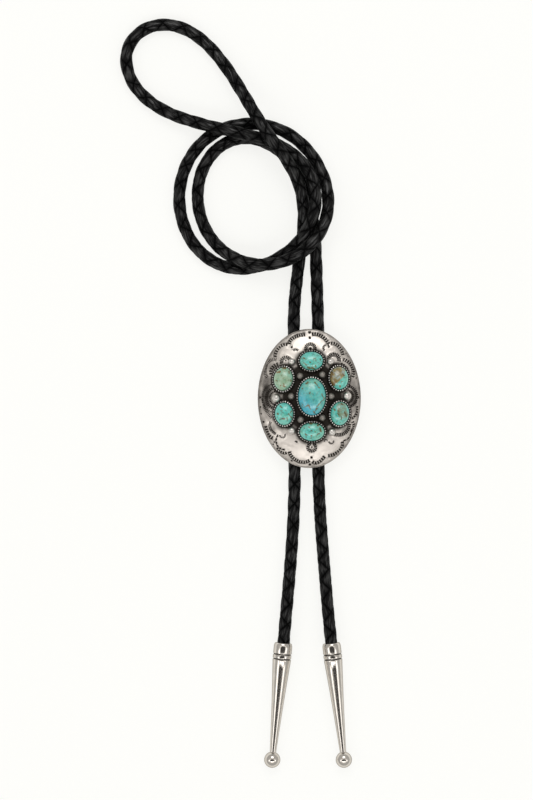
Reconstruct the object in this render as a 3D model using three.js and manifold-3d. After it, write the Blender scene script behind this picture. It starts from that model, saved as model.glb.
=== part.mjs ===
// Bolo tie: one braided leather cord doubled through an oval silver slide with
// seven turquoise cabochons, and a turned silver tip on each cord end.
//
// Millimetres, +Z up. The tie lies flat on the plane z = 0, slide face up. The
// origin is on the underside of the clip, below the middle of the slide's oval;
// +Y runs along the cord from the tips towards the loop, +X is to its right.

import * as THREE from 'three';
import { mergeVertices } from 'three/addons/utils/BufferGeometryUtils.js';
import Module from 'manifold-3d';

const wasm = await Module();
wasm.setup();

// ---- driving dimensions ----------------------------------------------------

const CORD_DIAMETER = 5.1;
const CORD_RADIUS = CORD_DIAMETER / 2;
const CORD_SIDES = 10;
const CORD_STEPS = 90;

const FIT_GAP = 0.3; // between pieces that touch on the real tie

// Slide: a domed oval sheet, open underneath.
const PLATE_HALF_WIDTH = 20.9;
const PLATE_HALF_HEIGHT = 28.2;
const PLATE_SHEET = 1.2;
const PLATE_SEGMENTS = 40;
const DOME_RISE = 4.0;
const DOME_FULLNESS = 2.2; // exponent of the dome's profile
const DOME_APEX_Z = 11.9;

// Bezel cups, soldered to the dome.
const BEZEL_WALL = 0.5;
const BEZEL_FLOOR = 0.5; // floor of a cup above the dome's tangent plane
const BEZEL_SINK = 0.75; // how far a cup's underside sinks into the sheet
const BEZEL_SEGMENTS = 22;

// Silver shots: small balls soldered to the dome.
const SHOT_SEAT = 0.75; // height of a ball's centre over the dome, in radii

// Clip that holds both cord runs behind the slide.
const CLIP_LENGTH = 18;
const CLIP_HEIGHT = 7.3;
const CLIP_CORD_Z = 3.65;
const CLIP_CORD_LEFT_X = -6.0;
const CLIP_CORD_RIGHT_X = 3.8;
const CLIP_CHANNEL_RADIUS = CORD_RADIUS + FIT_GAP;
const CLIP_JAW_REACH = 1.8; // how far the jaws reach past a cord's middle
const CLIP_POST_TOP = 9.9;
const CLIP_POST_SIZE = 10;

// Tips, measured along their own axis from the mouth.
const TIP_COLLAR_RADIUS = 3.75;
const TIP_MOUTH_ROUND = 0.5;
const TIP_GROOVES = [4.56, 6.5];
const TIP_GROOVE_HALF_WIDTH = 0.25;
const TIP_GROOVE_DEPTH = 0.3;
const TIP_TAPER_START = 7.4;
const TIP_NECK_RADIUS = 1.28;
const TIP_BALL_RADIUS = 3.3;
const TIP_BALL_CENTRE = 47.7;
const TIP_SOCKET_DEPTH = 5;
const TIP_SOCKET_RADIUS = CORD_RADIUS + FIT_GAP;
const TIP_SEGMENTS = 20;

// ---- places ----------------------------------------------------------------

// Cabochons: middle on the slide's face, half width, half height, turn in
// degrees about the face, and height of the stone above its bezel's rim.
const STONES = [
  { name: 'stone_centre', x: 1.0, y: 0.7, halfWidth: 5.7, halfHeight: 7.7, turn: 0, wall: 2.6, crown: 3.1 },
  { name: 'stone_top', x: 0.8, y: 14.9, halfWidth: 4.8, halfHeight: 3.85, turn: 0, wall: 2.2, crown: 2.2 },
  { name: 'stone_bottom', x: 1.0, y: -13.2, halfWidth: 5.1, halfHeight: 3.75, turn: 0, wall: 2.2, crown: 2.2 },
  { name: 'stone_upper_left', x: -10.2, y: 7.75, halfWidth: 4.0, halfHeight: 4.9, turn: -8, wall: 2.2, crown: 2.2 },
  { name: 'stone_lower_left', x: -9.9, y: -6.1, halfWidth: 3.85, halfHeight: 4.7, turn: 4, wall: 2.2, crown: 2.2 },
  { name: 'stone_upper_right', x: 11.6, y: 8.1, halfWidth: 3.85, halfHeight: 4.8, turn: 6, wall: 2.2, crown: 2.2 },
  { name: 'stone_lower_right', x: 11.9, y: -6.0, halfWidth: 3.9, halfHeight: 4.9, turn: -6, wall: 2.2, crown: 2.2 },
];

// Silver shots: place on the face and radius. Six large ones stand between the
// outer stones and six small ones round the centre stone.
const SHOTS = [
  { x: -7.0, y: 14.7, radius: 1.5 },
  { x: 8.4, y: 14.7, radius: 1.5 },
  { x: -13.1, y: 0.1, radius: 1.65 },
  { x: 14.9, y: 1.0, radius: 1.75 },
  { x: -7.0, y: -12.9, radius: 1.6 },
  { x: 8.9, y: -13.4, radius: 1.6 },
  { x: -3.7, y: 9.0, radius: 1.2 },
  { x: 5.1, y: 9.5, radius: 1.2 },
  { x: -7.2, y: 0.9, radius: 1.2 },
  { x: 8.6, y: 0.9, radius: 1.2 },
  { x: -3.5, y: -8.5, radius: 1.2 },
  { x: 5.1, y: -7.7, radius: 1.2 },
];

// Tips: middle of the mouth and middle of the ball. Each lies on its collar and
// on its ball.
const TIPS = [
  { name: 'tip_left', mouth: [-10.5, -99.5], ball: [-15.0, -146.8] },
  { name: 'tip_right', mouth: [9.0, -99.5], ball: [14.1, -146.8] },
];
const TIP_MOUTH_Z = 3.8;
const TIP_BALL_Z = TIP_BALL_RADIUS;

// Centre line of the cord, from inside the left tip to inside the right one:
// up the left run and through the clip, over the ring, round the drop-shaped
// loop, twice round the ring and down the right run.
const CORD_ROUTE = [
  // left tip, left run, clip
  [-10.9, -104.2, 3.8], [-10.4, -99.0, 3.8], [-9.5, -88.7, 3.3], [-7.5, -66.0, 2.6], [-6.1, -42.0, 2.7],
  [-5.9, -22.9, 3.3], [-6.0, -9.1, 3.65], [-6.0, 9.1, 3.65], [-6.3, 24.6, 3.0], [-5.9, 39.2, 2.7],
  [-4.5, 52.5, 2.8],
  // under the ring's lower right, then up on top of its right side
  [-3.1, 62.8, 3.8], [-2.3, 71.8, 6.1], [-2.7, 80.2, 8.1], [-4.6, 87.7, 9.9], [-7.6, 93.8, 11.4],
  [-11.2, 99.4, 12.9],
  // over the crossing and round the drop-shaped loop
  [-15.8, 105.7, 13.1], [-21.1, 113.7, 10.7], [-27.2, 124.2, 6.5], [-33.9, 134.8, 3.6],
  [-41.6, 144.0, 2.7], [-50.2, 150.0, 2.6], [-59.1, 152.0, 2.6], [-67.0, 150.0, 2.6], [-72.4, 144.9, 2.6],
  [-74.4, 137.9, 2.6], [-72.0, 129.0, 2.7], [-65.9, 121.7, 2.8], [-56.7, 115.9, 4.3],
  [-42.9, 111.1, 7.2], [-28.9, 107.7, 8.2],
  // first turn of the ring
  [-19.1, 105.2, 7.8], [-11.2, 102.0, 7.7], [-4.4, 97.1, 8.0], [0.3, 90.5, 9.0], [2.5, 81.5, 10.4],
  [1.2, 72.8, 11.1], [-3.0, 65.1, 10.0], [-10.0, 58.6, 6.9], [-19.2, 54.1, 4.1], [-29.4, 52.8, 2.7],
  [-38.8, 55.6, 2.6], [-46.4, 62.1, 2.6], [-51.2, 71.3, 2.6], [-52.8, 82.0, 2.6], [-50.9, 92.4, 2.6],
  [-45.8, 101.6, 2.6], [-38.0, 108.2, 2.6],
  // second turn of the ring
  [-28.1, 111.4, 2.6], [-18.2, 111.1, 2.6], [-8.6, 107.7, 2.6], [-0.2, 100.5, 2.7], [5.4, 91.0, 3.6],
  [7.7, 80.3, 6.3], [5.7, 70.0, 10.7], [-0.2, 61.4, 13.5], [-9.1, 55.9, 12.6], [-19.4, 54.2, 9.9],
  [-29.1, 56.4, 6.9], [-37.2, 62.0, 4.1], [-43.0, 70.8, 2.7], [-45.3, 81.2, 2.6], [-43.7, 92.0, 2.6],
  [-38.5, 100.4, 2.6], [-31.5, 104.9, 2.6],
  // last stretch of the ring, under the others
  [-23.2, 105.7, 2.6], [-14.8, 102.5, 2.6], [-7.6, 96.3, 2.6], [-2.6, 88.1, 2.6], [0.3, 79.0, 2.6],
  [1.9, 69.6, 2.6],
  // right run, clip, right tip
  [2.6, 60.3, 2.6], [3.1, 47.3, 2.6], [3.6, 29.8, 3.1], [3.8, 9.1, 3.65], [3.8, -9.1, 3.65],
  [3.7, -25.4, 3.3], [4.4, -45.3, 2.7], [6.1, -68.0, 2.6], [7.9, -88.7, 3.3], [8.95, -99.0, 3.8],
  [9.5, -104.2, 3.8],
];

// ---- materials -------------------------------------------------------------

function metal(color, roughness) {
  return new THREE.MeshStandardMaterial({ color, roughness, metalness: 1 });
}

function polishedStone(color) {
  return new THREE.MeshStandardMaterial({ color, roughness: 0.25, metalness: 0 });
}

const MATERIALS = {
  slide: metal(0xb5aea4, 0.38),
  clip: metal(0xa9a49b, 0.45),
  tip: metal(0xc9c5be, 0.2),
  leather: new THREE.MeshStandardMaterial({ color: 0x17181a, roughness: 0.5, metalness: 0 }),
};

const STONE_COLOURS = {
  stone_centre: 0x45bfc4,
  stone_top: 0x4dbfae,
  stone_bottom: 0x4fbdaa,
  stone_upper_left: 0x86b79c,
  stone_lower_left: 0x49bfaf,
  stone_upper_right: 0x7fa77d,
  stone_lower_right: 0x5fbca7,
};

// ---- solids ----------------------------------------------------------------

// A closed three.js geometry as a manifold solid, with its place applied.
function solidOf(geometry, matrix = new THREE.Matrix4()) {
  const bare = geometry.clone();
  bare.deleteAttribute('normal');
  bare.deleteAttribute('uv');
  const merged = mergeVertices(bare, 1e-4);
  merged.applyMatrix4(matrix);
  return new wasm.Manifold(new wasm.Mesh({
    numProp: 3,
    vertProperties: new Float32Array(merged.attributes.position.array),
    triVerts: new Uint32Array(merged.index.array),
  }));
}

// A manifold solid back as a geometry.
function geometryOf(solid) {
  const mesh = solid.getMesh();
  const geometry = new THREE.BufferGeometry();
  geometry.setAttribute('position', new THREE.BufferAttribute(mesh.vertProperties, 3));
  geometry.setIndex(new THREE.BufferAttribute(mesh.triVerts, 1));
  geometry.computeVertexNormals();
  return geometry;
}

function namedMesh(name, geometry, material) {
  const mesh = new THREE.Mesh(geometry, material);
  mesh.name = name;
  return mesh;
}

// ---- slide -----------------------------------------------------------------

// How far out a place on the face lies: 0 at the middle, 1 at the rim.
function ovalRadius(x, y) {
  return Math.hypot(x / PLATE_HALF_WIDTH, y / PLATE_HALF_HEIGHT);
}

function domeHeight(x, y) {
  return DOME_APEX_Z - DOME_RISE * ovalRadius(x, y) ** DOME_FULLNESS;
}

// Frame on the dome at (x, y): its third axis is the dome's normal.
function domeFrame(x, y, lift, turnDegrees = 0) {
  const step = 0.01;
  const slopeX = (domeHeight(x + step, y) - domeHeight(x - step, y)) / (2 * step);
  const slopeY = (domeHeight(x, y + step) - domeHeight(x, y - step)) / (2 * step);
  const normal = new THREE.Vector3(-slopeX, -slopeY, 1).normalize();
  const tilt = new THREE.Quaternion().setFromUnitVectors(new THREE.Vector3(0, 0, 1), normal);
  const turn = new THREE.Quaternion().setFromAxisAngle(
    new THREE.Vector3(0, 0, 1), THREE.MathUtils.degToRad(turnDegrees));
  const place = new THREE.Vector3(x, y, domeHeight(x, y)).addScaledVector(normal, lift);
  return new THREE.Matrix4().compose(place, tilt.multiply(turn), new THREE.Vector3(1, 1, 1));
}

// A revolved profile stood along +Z and stretched to an oval.
function ovalLathe(profile, segments, halfWidth, halfHeight) {
  const geometry = new THREE.LatheGeometry(profile, segments);
  geometry.rotateX(Math.PI / 2);
  geometry.scale(halfWidth, halfHeight, 1);
  return geometry;
}

// The domed sheet. Its profile is in units of the oval's radius.
function plateGeometry() {
  const stations = [0.2, 0.4, 0.58, 0.74, 0.87, 0.955];
  const top = (r) => DOME_APEX_Z - DOME_RISE * r ** DOME_FULLNESS;
  const edge = 0.012; // rounding of the rim
  const profile = [new THREE.Vector2(0, top(0) - PLATE_SHEET)];
  for (const r of stations) {
    profile.push(new THREE.Vector2(r, top(r) - PLATE_SHEET));
  }
  profile.push(new THREE.Vector2(1 - edge, top(1) - PLATE_SHEET));
  profile.push(new THREE.Vector2(1, top(1) - 0.75 * PLATE_SHEET));
  profile.push(new THREE.Vector2(1, top(1) - 0.35 * PLATE_SHEET));
  profile.push(new THREE.Vector2(1 - edge, top(1 - edge)));
  for (const r of [...stations].reverse()) {
    profile.push(new THREE.Vector2(r, top(r)));
  }
  profile.push(new THREE.Vector2(0, top(0)));
  return ovalLathe(profile, PLATE_SEGMENTS, PLATE_HALF_WIDTH, PLATE_HALF_HEIGHT);
}

// An oval cup round a stone: profile radii are 0 on the axis and 1 at its outside.
function bezelGeometry(stone) {
  const outerWidth = stone.halfWidth + FIT_GAP / 2 + BEZEL_WALL;
  const outerHeight = stone.halfHeight + FIT_GAP / 2 + BEZEL_WALL;
  const inner = 1 - BEZEL_WALL / outerWidth;
  const lip = 1 - 0.35 * BEZEL_WALL / outerWidth;
  const profile = [
    new THREE.Vector2(0, -BEZEL_SINK),
    new THREE.Vector2(1, -BEZEL_SINK),
    new THREE.Vector2(1, 0.82 * stone.wall),
    new THREE.Vector2(lip, stone.wall),
    new THREE.Vector2(inner, stone.wall),
    new THREE.Vector2(inner, BEZEL_FLOOR),
    new THREE.Vector2(0, BEZEL_FLOOR),
  ];
  return ovalLathe(profile, BEZEL_SEGMENTS, outerWidth, outerHeight);
}

function slidePlate() {
  let solid = solidOf(plateGeometry());
  for (const stone of STONES) {
    solid = solid.add(solidOf(bezelGeometry(stone), domeFrame(stone.x, stone.y, 0, stone.turn)));
  }
  for (const shot of SHOTS) {
    const ball = new THREE.SphereGeometry(shot.radius, 10, 6);
    solid = solid.add(solidOf(ball, domeFrame(shot.x, shot.y, SHOT_SEAT * shot.radius)));
  }
  return namedMesh('slide_plate', geometryOf(solid), MATERIALS.slide);
}

// A cabochon: a flat base, a short girdle and a domed crown.
function cabochon(stone) {
  const base = BEZEL_FLOOR + FIT_GAP;
  const shrink = 1 - FIT_GAP / 2 / stone.halfWidth;
  const profile = [new THREE.Vector2(0, base), new THREE.Vector2(shrink, base)];
  const rings = 6;
  for (let i = 0; i <= rings; i += 1) {
    const angle = (Math.PI / 2) * (i / rings);
    const radius = i === rings ? 0 : shrink * Math.cos(angle);
    profile.push(new THREE.Vector2(radius, stone.wall + stone.crown * Math.sin(angle)));
  }
  const geometry = ovalLathe(profile, BEZEL_SEGMENTS, stone.halfWidth, stone.halfHeight);
  const material = polishedStone(STONE_COLOURS[stone.name]);
  const mesh = namedMesh(stone.name, geometry, material);
  domeFrame(stone.x, stone.y, 0, stone.turn).decompose(mesh.position, mesh.quaternion, mesh.scale);
  return mesh;
}

// ---- clip ------------------------------------------------------------------

// The clip's section across the cord: a flat-bottomed bar with a round channel
// at each side, open sideways between two jaws.
function clipSection() {
  const left = CLIP_CORD_LEFT_X - CLIP_JAW_REACH;
  const right = CLIP_CORD_RIGHT_X + CLIP_JAW_REACH;
  const mouth = Math.acos(CLIP_JAW_REACH / CLIP_CHANNEL_RADIUS);
  const section = new THREE.Shape();
  section.moveTo(left, 0);
  section.lineTo(right, 0);
  section.absarc(CLIP_CORD_RIGHT_X, CLIP_CORD_Z, CLIP_CHANNEL_RADIUS, -mouth, mouth, true);
  section.lineTo(right, CLIP_HEIGHT);
  section.lineTo(left, CLIP_HEIGHT);
  section.absarc(CLIP_CORD_LEFT_X, CLIP_CORD_Z, CLIP_CHANNEL_RADIUS, Math.PI - mouth, Math.PI + mouth, true);
  section.lineTo(left, 0);
  return section;
}

function cordClip() {
  const body = new THREE.ExtrudeGeometry(clipSection(), {
    depth: CLIP_LENGTH, steps: 1, curveSegments: 14, bevelEnabled: false,
  });
  body.rotateX(Math.PI / 2);
  body.translate(0, CLIP_LENGTH / 2, 0);
  const middle = (CLIP_CORD_LEFT_X + CLIP_CORD_RIGHT_X) / 2;
  const sunk = 0.5; // how far the post starts inside the body
  const postHeight = CLIP_POST_TOP - CLIP_HEIGHT + sunk;
  const post = new THREE.BoxGeometry(CLIP_POST_SIZE, CLIP_POST_SIZE, postHeight);
  post.translate(middle, 0, CLIP_POST_TOP - postHeight / 2);
  const solid = solidOf(body).add(solidOf(post));
  return namedMesh('cord_clip', geometryOf(solid), MATERIALS.clip);
}

// ---- tips ------------------------------------------------------------------

// Profile of a tip: y runs from the mouth (0) to the end of the ball.
function tipProfile() {
  const points = [[0, TIP_SOCKET_DEPTH], [TIP_SOCKET_RADIUS, TIP_SOCKET_DEPTH], [TIP_SOCKET_RADIUS, 0]];
  points.push([TIP_COLLAR_RADIUS - TIP_MOUTH_ROUND, 0]);
  points.push([TIP_COLLAR_RADIUS - 0.3 * TIP_MOUTH_ROUND, 0.3 * TIP_MOUTH_ROUND]);
  points.push([TIP_COLLAR_RADIUS, TIP_MOUTH_ROUND]);
  for (const groove of TIP_GROOVES) {
    points.push([TIP_COLLAR_RADIUS, groove - TIP_GROOVE_HALF_WIDTH]);
    points.push([TIP_COLLAR_RADIUS - TIP_GROOVE_DEPTH, groove]);
    points.push([TIP_COLLAR_RADIUS, groove + TIP_GROOVE_HALF_WIDTH]);
  }
  points.push([TIP_COLLAR_RADIUS, TIP_TAPER_START]);
  const neckAngle = Math.asin(TIP_NECK_RADIUS / TIP_BALL_RADIUS);
  const arcs = 9;
  for (let i = 0; i <= arcs; i += 1) {
    const angle = neckAngle + (Math.PI - neckAngle) * (i / arcs);
    const radius = i === arcs ? 0 : TIP_BALL_RADIUS * Math.sin(angle);
    points.push([radius, TIP_BALL_CENTRE - TIP_BALL_RADIUS * Math.cos(angle)]);
  }
  return points.map(([radius, along]) => new THREE.Vector2(radius, along));
}

function tipMesh(tip) {
  const mouth = new THREE.Vector3(...tip.mouth, TIP_MOUTH_Z);
  const ball = new THREE.Vector3(...tip.ball, TIP_BALL_Z);
  const axis = ball.clone().sub(mouth).normalize();
  const mesh = namedMesh(tip.name, new THREE.LatheGeometry(tipProfile(), TIP_SEGMENTS), MATERIALS.tip);
  mesh.position.copy(ball).addScaledVector(axis, -TIP_BALL_CENTRE);
  mesh.quaternion.setFromUnitVectors(new THREE.Vector3(0, 1, 0), axis);
  return mesh;
}

// ---- cord ------------------------------------------------------------------

function cordMesh() {
  const points = CORD_ROUTE.map((point) => new THREE.Vector3(...point));
  const route = new THREE.CatmullRomCurve3(points, false, 'centripetal');
  route.arcLengthDivisions = 2000;
  const section = new THREE.Shape();
  for (let i = 0; i < CORD_SIDES; i += 1) {
    const angle = (2 * Math.PI * i) / CORD_SIDES;
    const corner = [CORD_RADIUS * Math.cos(angle), CORD_RADIUS * Math.sin(angle)];
    if (i === 0) section.moveTo(...corner);
    else section.lineTo(...corner);
  }
  section.closePath();
  const geometry = new THREE.ExtrudeGeometry(section, {
    steps: CORD_STEPS, bevelEnabled: false, extrudePath: route,
  });
  return namedMesh('cord', geometry, MATERIALS.leather);
}

// ---- assembly --------------------------------------------------------------

const slide = new THREE.Group();
slide.add(slidePlate());
for (const stone of STONES) {
  slide.add(cabochon(stone));
}
slide.add(cordClip());

const boloTie = new THREE.Group();
boloTie.add(slide);
boloTie.add(cordMesh());
for (const tip of TIPS) {
  boloTie.add(tipMesh(tip));
}

export default boloTie;
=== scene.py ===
"""Bolo tie: a braided leather cord, an oval silver slide with seven turquoise
cabochons, and two turned silver tips, lying flat on a pale floor.

Lengths in the dataclasses are millimetres. Meshes are finished in metres, in
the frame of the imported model: +Y runs along the cord towards the loop, +Z is up.
"""

import logging
import math
from dataclasses import dataclass, field
from enum import Enum

import bmesh
import bpy
import numpy as np
from mathutils import Matrix, Quaternion, Vector

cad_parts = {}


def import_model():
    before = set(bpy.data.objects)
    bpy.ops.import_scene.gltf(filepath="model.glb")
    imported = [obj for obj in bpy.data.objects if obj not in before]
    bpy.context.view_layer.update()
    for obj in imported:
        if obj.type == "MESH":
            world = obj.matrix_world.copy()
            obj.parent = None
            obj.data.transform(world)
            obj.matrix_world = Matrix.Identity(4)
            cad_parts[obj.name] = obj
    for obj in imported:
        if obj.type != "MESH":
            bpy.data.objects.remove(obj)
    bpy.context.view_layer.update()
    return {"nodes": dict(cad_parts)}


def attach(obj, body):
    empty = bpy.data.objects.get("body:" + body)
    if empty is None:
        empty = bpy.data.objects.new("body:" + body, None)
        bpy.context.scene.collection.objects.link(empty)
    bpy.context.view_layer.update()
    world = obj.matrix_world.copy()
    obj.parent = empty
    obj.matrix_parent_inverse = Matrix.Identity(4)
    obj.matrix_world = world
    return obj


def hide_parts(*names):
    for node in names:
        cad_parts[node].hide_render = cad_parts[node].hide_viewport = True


logging.basicConfig(level=logging.INFO, format="%(name)s: %(message)s")
log = logging.getLogger("bolo_tie")

MM = 0.001
FLOOR_GAP = 0.03  # how far the floor lies under z = 0, clear of every piece


# ---- shader maths ----------------------------------------------------------


class Signal:
    """A value or vector socket of a shader tree that takes Python arithmetic."""

    def __init__(self, bench: "ShaderBench", socket: bpy.types.NodeSocket) -> None:
        """Wrap a socket.

        Args:
            bench: the shader tree that the socket is in.
            socket: an output socket.
        """
        self.bench = bench
        self.socket = socket

    def _maths(self, operation: str, *values: "Signal | float") -> "Signal":
        """Add one Math node on the given values and return its result."""
        return self.bench.node("ShaderNodeMath", {"operation": operation}, dict(enumerate(values)))

    def __add__(self, other: "Signal | float") -> "Signal":
        """self + other."""
        return self._maths("ADD", self, other)

    def __radd__(self, other: float) -> "Signal":
        """other + self."""
        return self._maths("ADD", other, self)

    def __sub__(self, other: "Signal | float") -> "Signal":
        """self - other."""
        return self._maths("SUBTRACT", self, other)

    def __rsub__(self, other: float) -> "Signal":
        """other - self."""
        return self._maths("SUBTRACT", other, self)

    def __mul__(self, other: "Signal | float") -> "Signal":
        """self * other."""
        return self._maths("MULTIPLY", self, other)

    def __rmul__(self, other: float) -> "Signal":
        """other * self."""
        return self._maths("MULTIPLY", other, self)

    def __truediv__(self, other: "Signal | float") -> "Signal":
        """self / other."""
        return self._maths("DIVIDE", self, other)

    def __rtruediv__(self, other: float) -> "Signal":
        """other / self."""
        return self._maths("DIVIDE", other, self)

    def __abs__(self) -> "Signal":
        """Size without sign."""
        return self._maths("ABSOLUTE", self)

    def larger(self, other: "Signal | float") -> "Signal":
        """The larger of the two."""
        return self._maths("MAXIMUM", self, other)

    def smaller(self, other: "Signal | float") -> "Signal":
        """The smaller of the two."""
        return self._maths("MINIMUM", self, other)

    def floor(self) -> "Signal":
        """Round down."""
        return self._maths("FLOOR", self)

    def step(self, low: float, high: float) -> "Signal":
        """Rise smoothly from 0 at low to 1 at high; falls where low is above high.

        Args:
            low: the value that gives 0.
            high: the value that gives 1.

        Returns:
            A mask from 0 to 1.
        """
        settings = {"interpolation_type": "SMOOTHSTEP", "clamp": True}
        if low < high:
            return self.bench.node("ShaderNodeMapRange", settings, {0: self, 1: low, 2: high, 3: 0.0, 4: 1.0})
        return self.bench.node("ShaderNodeMapRange", settings, {0: self, 1: high, 2: low, 3: 1.0, 4: 0.0})


class ShaderBench:
    """One material's node tree, with a Principled shader ready on its output."""

    def __init__(self, name: str) -> None:
        """Start a material.

        Args:
            name: the material's name.
        """
        self.material = bpy.data.materials.new(name)
        self.material.use_nodes = True
        self.tree = self.material.node_tree
        self.shader = self.tree.nodes["Principled BSDF"]

    def node(self, kind: str, settings: dict, inputs: dict, output: int | str = 0) -> Signal:
        """Add a node.

        Args:
            kind: the node's type name.
            settings: attributes that are set first; "stops" fills a colour ramp.
            inputs: socket name or number to a value, a colour or a Signal.
            output: the output that is returned.

        Returns:
            The chosen output as a Signal.
        """
        made = self.tree.nodes.new(kind)
        for name, value in settings.items():
            if name == "stops":
                self._fill_ramp(made.color_ramp, value)
            else:
                setattr(made, name, value)
        for name, value in inputs.items():
            if isinstance(value, Signal):
                self.tree.links.new(value.socket, made.inputs[name])
            else:
                made.inputs[name].default_value = value
        return Signal(self, made.outputs[output])

    @staticmethod
    def _fill_ramp(ramp: bpy.types.ColorRamp, stops: list[tuple[float, tuple]]) -> None:
        """Give a colour ramp its stops, each a place and a colour."""
        while len(ramp.elements) < len(stops):
            ramp.elements.new(1.0)
        for element, (place, colour) in zip(ramp.elements, stops):
            element.position = place
            element.color = (*colour, 1.0)

    def finish(self, **sockets: "Signal | float | tuple") -> "bpy.types.Material | bpy.types.World":
        """Feed the tree's shader.

        Args:
            sockets: its socket names, with _ for a space, and what each gets.

        Returns:
            The finished material, or the world in a sky's tree.
        """
        for name, value in sockets.items():
            socket = self.shader.inputs[name.replace("_", " ")]
            if isinstance(value, Signal):
                self.tree.links.new(value.socket, socket)
            else:
                socket.default_value = value
        return self.material

    def place(self) -> Signal:
        """Object coordinates in millimetres."""
        here = self.node("ShaderNodeTexCoord", {}, {}, "Object")
        return self.vector("SCALE", here, scale=1 / MM)

    def attribute(self, name: str) -> Signal:
        """A value painted on the mesh's points."""
        return self.node("ShaderNodeAttribute", {"attribute_name": name}, {}, "Fac")

    def vector(self, operation: str, first: "Signal | tuple", second: "Signal | tuple | None" = None,
               scale: "Signal | float | None" = None, output: int | str = 0) -> Signal:
        """One Vector Math node.

        Args:
            operation: what it does.
            first: the first vector.
            second: the second vector, where it takes one.
            scale: the scale, where it takes one.
            output: the output that is returned.

        Returns:
            The result.
        """
        inputs = {0: first}
        if second is not None:
            inputs[1] = second
        if scale is not None:
            inputs["Scale"] = scale
        return self.node("ShaderNodeVectorMath", {"operation": operation}, inputs, output)

    def axes(self, vector: Signal) -> tuple[Signal, Signal, Signal]:
        """The three parts of a vector."""
        first = self.node("ShaderNodeSeparateXYZ", {}, {0: vector})
        outputs = first.socket.node.outputs
        return first, Signal(self, outputs[1]), Signal(self, outputs[2])

    def joined(self, x: "Signal | float", y: "Signal | float", z: "Signal | float" = 0.0) -> Signal:
        """A vector from three parts."""
        return self.node("ShaderNodeCombineXYZ", {}, {0: x, 1: y, 2: z})

    def mix(self, factor: "Signal | float", first: "Signal | tuple", second: "Signal | tuple") -> Signal:
        """Blend two colours.

        Args:
            factor: 0 gives the first, 1 the second.
            first: a colour of three or four parts, or a Signal.
            second: the same.

        Returns:
            The blended colour.
        """
        ends = [(*end, 1.0) if isinstance(end, tuple) and len(end) == 3 else end for end in (first, second)]
        settings = {"data_type": "RGBA", "clamp_factor": True}
        return self.node("ShaderNodeMix", settings, {0: factor, 6: ends[0], 7: ends[1]}, 2)

    def noise(self, vector: Signal, scale: float, detail: float = 3.0, roughness: float = 0.5,
              distortion: float = 0.0) -> Signal:
        """Fractal noise from 0 to 1.

        Args:
            vector: where it is read.
            scale: lumps per unit of the vector.
            detail: octaves.
            roughness: weight of the finer octaves.
            distortion: how far it is swirled.

        Returns:
            The noise value.
        """
        inputs = {"Vector": vector, "Scale": scale, "Detail": detail, "Roughness": roughness,
                  "Distortion": distortion}
        return self.node("ShaderNodeTexNoise", {}, inputs)

    def cells(self, vector: Signal, scale: float, feature: str = "F1") -> Signal:
        """Distance to the nearest point, or to the nearest edge, of scattered cells."""
        return self.node("ShaderNodeTexVoronoi", {"feature": feature}, {"Vector": vector, "Scale": scale},
                         "Distance")

    def relief(self, height: Signal, depth: float, strength: float = 1.0) -> Signal:
        """A normal from a height field.

        Args:
            height: heights from 0 to 1.
            depth: millimetres between height 0 and height 1.
            strength: how much of it shows.

        Returns:
            The normal.
        """
        inputs = {"Height": height, "Distance": depth * MM, "Strength": strength}
        return self.node("ShaderNodeBump", {}, inputs)


class SkyBench(ShaderBench):
    """The world's node tree, with the same maths, and its background for a shader."""

    def __init__(self, name: str) -> None:
        """Start a world.

        Args:
            name: the world's name.
        """
        self.material = bpy.data.worlds.new(name)
        self.material.use_nodes = True
        self.tree = self.material.node_tree
        self.shader = self.tree.nodes["Background"]


# ---- finishes --------------------------------------------------------------


class Silver(Enum):
    """The silver finishes of the tie."""

    SHEET = "sheet"
    BEZEL = "bezel"
    SHOT = "shot"
    DULL_SHOT = "dull_shot"
    TIP = "tip"
    CLIP = "clip"


@dataclass(frozen=True)
class SilverFinish:
    """Silver that is polished on its high places, dark in its low ones, and dark where shade is painted on
    it.
    """

    kind: Silver
    bright: tuple[float, float, float] = (0.74, 0.685, 0.63)
    dark: tuple[float, float, float] = (0.022, 0.018, 0.0145)
    roughness: float = 0.27
    oxide_roughness: float = 0.62
    scratch_depth: float = 0.004

    def material(self) -> bpy.types.Material:
        """Build it.

        Returns:
            A material whose dark share is the mesh's "oxide" value.
        """
        bench = ShaderBench(f"silver_{self.kind.value}")
        place = bench.place()
        oxide_and_shade = bench.attribute("oxide_and_shade")
        cloud = bench.noise(place, 0.35, detail=4.0)
        grit = bench.noise(place, 2.6, detail=3.0, roughness=0.65)
        stretched = bench.vector("MULTIPLY", place, (1.0, 7.0, 1.0))
        hairlines = bench.noise(stretched, 1.7, detail=5.0, roughness=0.7)
        edge = oxide_and_shade + ((grit - 0.5) * 0.22 + (cloud - 0.5) * 0.5) * (oxide_and_shade * (1.1 - oxide_and_shade) * 3.0)
        mask = edge.step(0.12, 0.82)
        warm = bench.mix(cloud.step(0.3, 0.75), self.bright, tuple(0.9 * part for part in self.bright))
        thin = bench.mix((hairlines - 0.35) * 0.22, warm, (0.42, 0.39, 0.36))
        colour = bench.mix(mask, thin, self.dark)
        polish = self.roughness + (cloud - 0.5) * 0.10 + (hairlines - 0.5) * 0.12
        roughness = polish * (1.0 - mask) + self.oxide_roughness * mask
        height = hairlines * 0.5 + grit * (0.35 + 1.6 * mask)
        return bench.finish(
            Base_Color=colour,
            Metallic=1.0 - 0.55 * mask,
            Specular_Tint=(0.42, 0.40, 0.37, 1.0),
            Roughness=roughness,
            Normal=bench.relief(height, self.scratch_depth),
        )


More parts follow.
